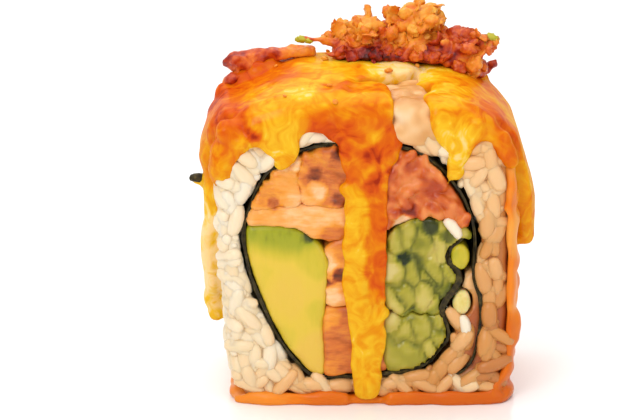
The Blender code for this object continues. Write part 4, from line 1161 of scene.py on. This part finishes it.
# %% Fried shallot
strip = copy_of("shallot_strip")
for x, y, z, size in (-19.2, 6.4, 42.6, 3.2), (-16.6, 7.4, 44.4, 2.8), (-12.8, 8.4, 45.6, 2.2):
    turn = put_at(x, y, z) @ Matrix.Rotation(-0.7, 4, "Y")
    add_copy(strip, lump_shapes[2], turn @ Matrix.Scale(size * MM, 4), 0)
strip = reskinned(strip, FINE_VOXEL, 3)
push(strip, lambda spot, normal: 0.7 * blistered(spot, normal))
paint(strip, lambda spot: 0.68 - 0.3 * smooth_share(spot.x, -15 * MM, -9 * MM)
      + 0.35 * ripple(spot, 2.2 * MM))
add_piece("fried_shallot", strip, crumb_finish, "fried_shallot", "shallot_strip")

# %% [markdown]
# A flake of dried red chilli leans behind the right shoulder. It is thin and crinkled, so its skin
# is finer than the others', and the oil has made it as glossy as the batter.

# %% Red chilli
chilli = reskinned(copy_of("chilli_flake"), 0.15 * MM, 2)
push(chilli, lambda spot, normal: 0.25 * MM * ripple(spot, 0.8 * MM))
paint(chilli, lambda spot: 0.78 + 0.15 * ripple(spot, 0.6 * MM))
add_piece("red_chilli", chilli, crumb_finish, "chilli", "chilli_flake")

# %% [markdown]
# The roll was photographed on a bright white sweep. A floor that curves up behind it does the same
# here: a square grid whose far edge is lifted, with a wide bevel for the curve.

# %% Floor
# A smooth white board gives a soft, faint reflection of the foot.
sweep_finish, tree, place = new_finish("white_sweep", {
    "Base Color": linear("fbfbfa"), "Roughness": 0.16, "IOR": 1.45,
})
sweep = bmesh.new()
bmesh.ops.create_grid(sweep, x_segments=2, y_segments=2, size=0.9)
far_edge = [e for e in sweep.edges if all(v.co.y > 0.89 for v in e.verts)]
risen = bmesh.ops.extrude_edge_only(sweep, edges=far_edge)["geom"]
bmesh.ops.translate(
    sweep, verts=[e for e in risen if isinstance(e, bmesh.types.BMVert)], vec=(0, 0, 1.2))
corner = [e for e in sweep.edges if all(v.co.y > 0.89 and v.co.z < 0.01 for v in e.verts)]
bmesh.ops.bevel(sweep, geom=corner, offset=0.4, segments=16, profile=0.5, affect="EDGES",
                material=-1)
sweep_mesh = mesh_of(sweep, "sweep")
sweep_mesh.materials.append(sweep_finish)
sweep_mesh.shade_smooth()
floor = bpy.data.objects.new("sweep", sweep_mesh)
scene.collection.objects.link(floor)
print("floor faces", len(sweep_mesh.polygons))

# %% [markdown]
# A food photo is lit softly, so that nothing shines hard or falls into black. A bright sky fills
# the shadows, a wide light hangs overhead, a smaller one at the left shapes the front, and a weak
# one at the right keeps that flank open.

# %% Light
world = bpy.data.worlds.new("studio")
world.use_nodes = True
world.node_tree.nodes["Background"].inputs["Color"].default_value = (1, 1, 1, 1)
world.node_tree.nodes["Background"].inputs["Strength"].default_value = 0.58
scene.world = world


def soft_light(name, place, size, power):
    """A square light of that size, turned towards the middle of the roll."""
    light = bpy.data.lights.new(name, "AREA")
    light.size = size
    light.energy = power
    lamp = bpy.data.objects.new(name, light)
    scene.collection.objects.link(lamp)
    lamp.location = place
    lamp.rotation_euler = (Vector((0, 0, 0.025)) - place).to_track_quat("-Z", "Y").to_euler()


soft_light("overhead", Vector((-0.1, 0.1, 0.95)), 1.3, 7.6)
soft_light("key", Vector((-0.28, -0.55, 0.42)), 0.30, 1.9)
soft_light("fill", Vector((0.50, -0.45, 0.25)), 0.50, 0.8)
scene.view_settings.view_transform = "Standard"
print("lights", len(bpy.data.lights))
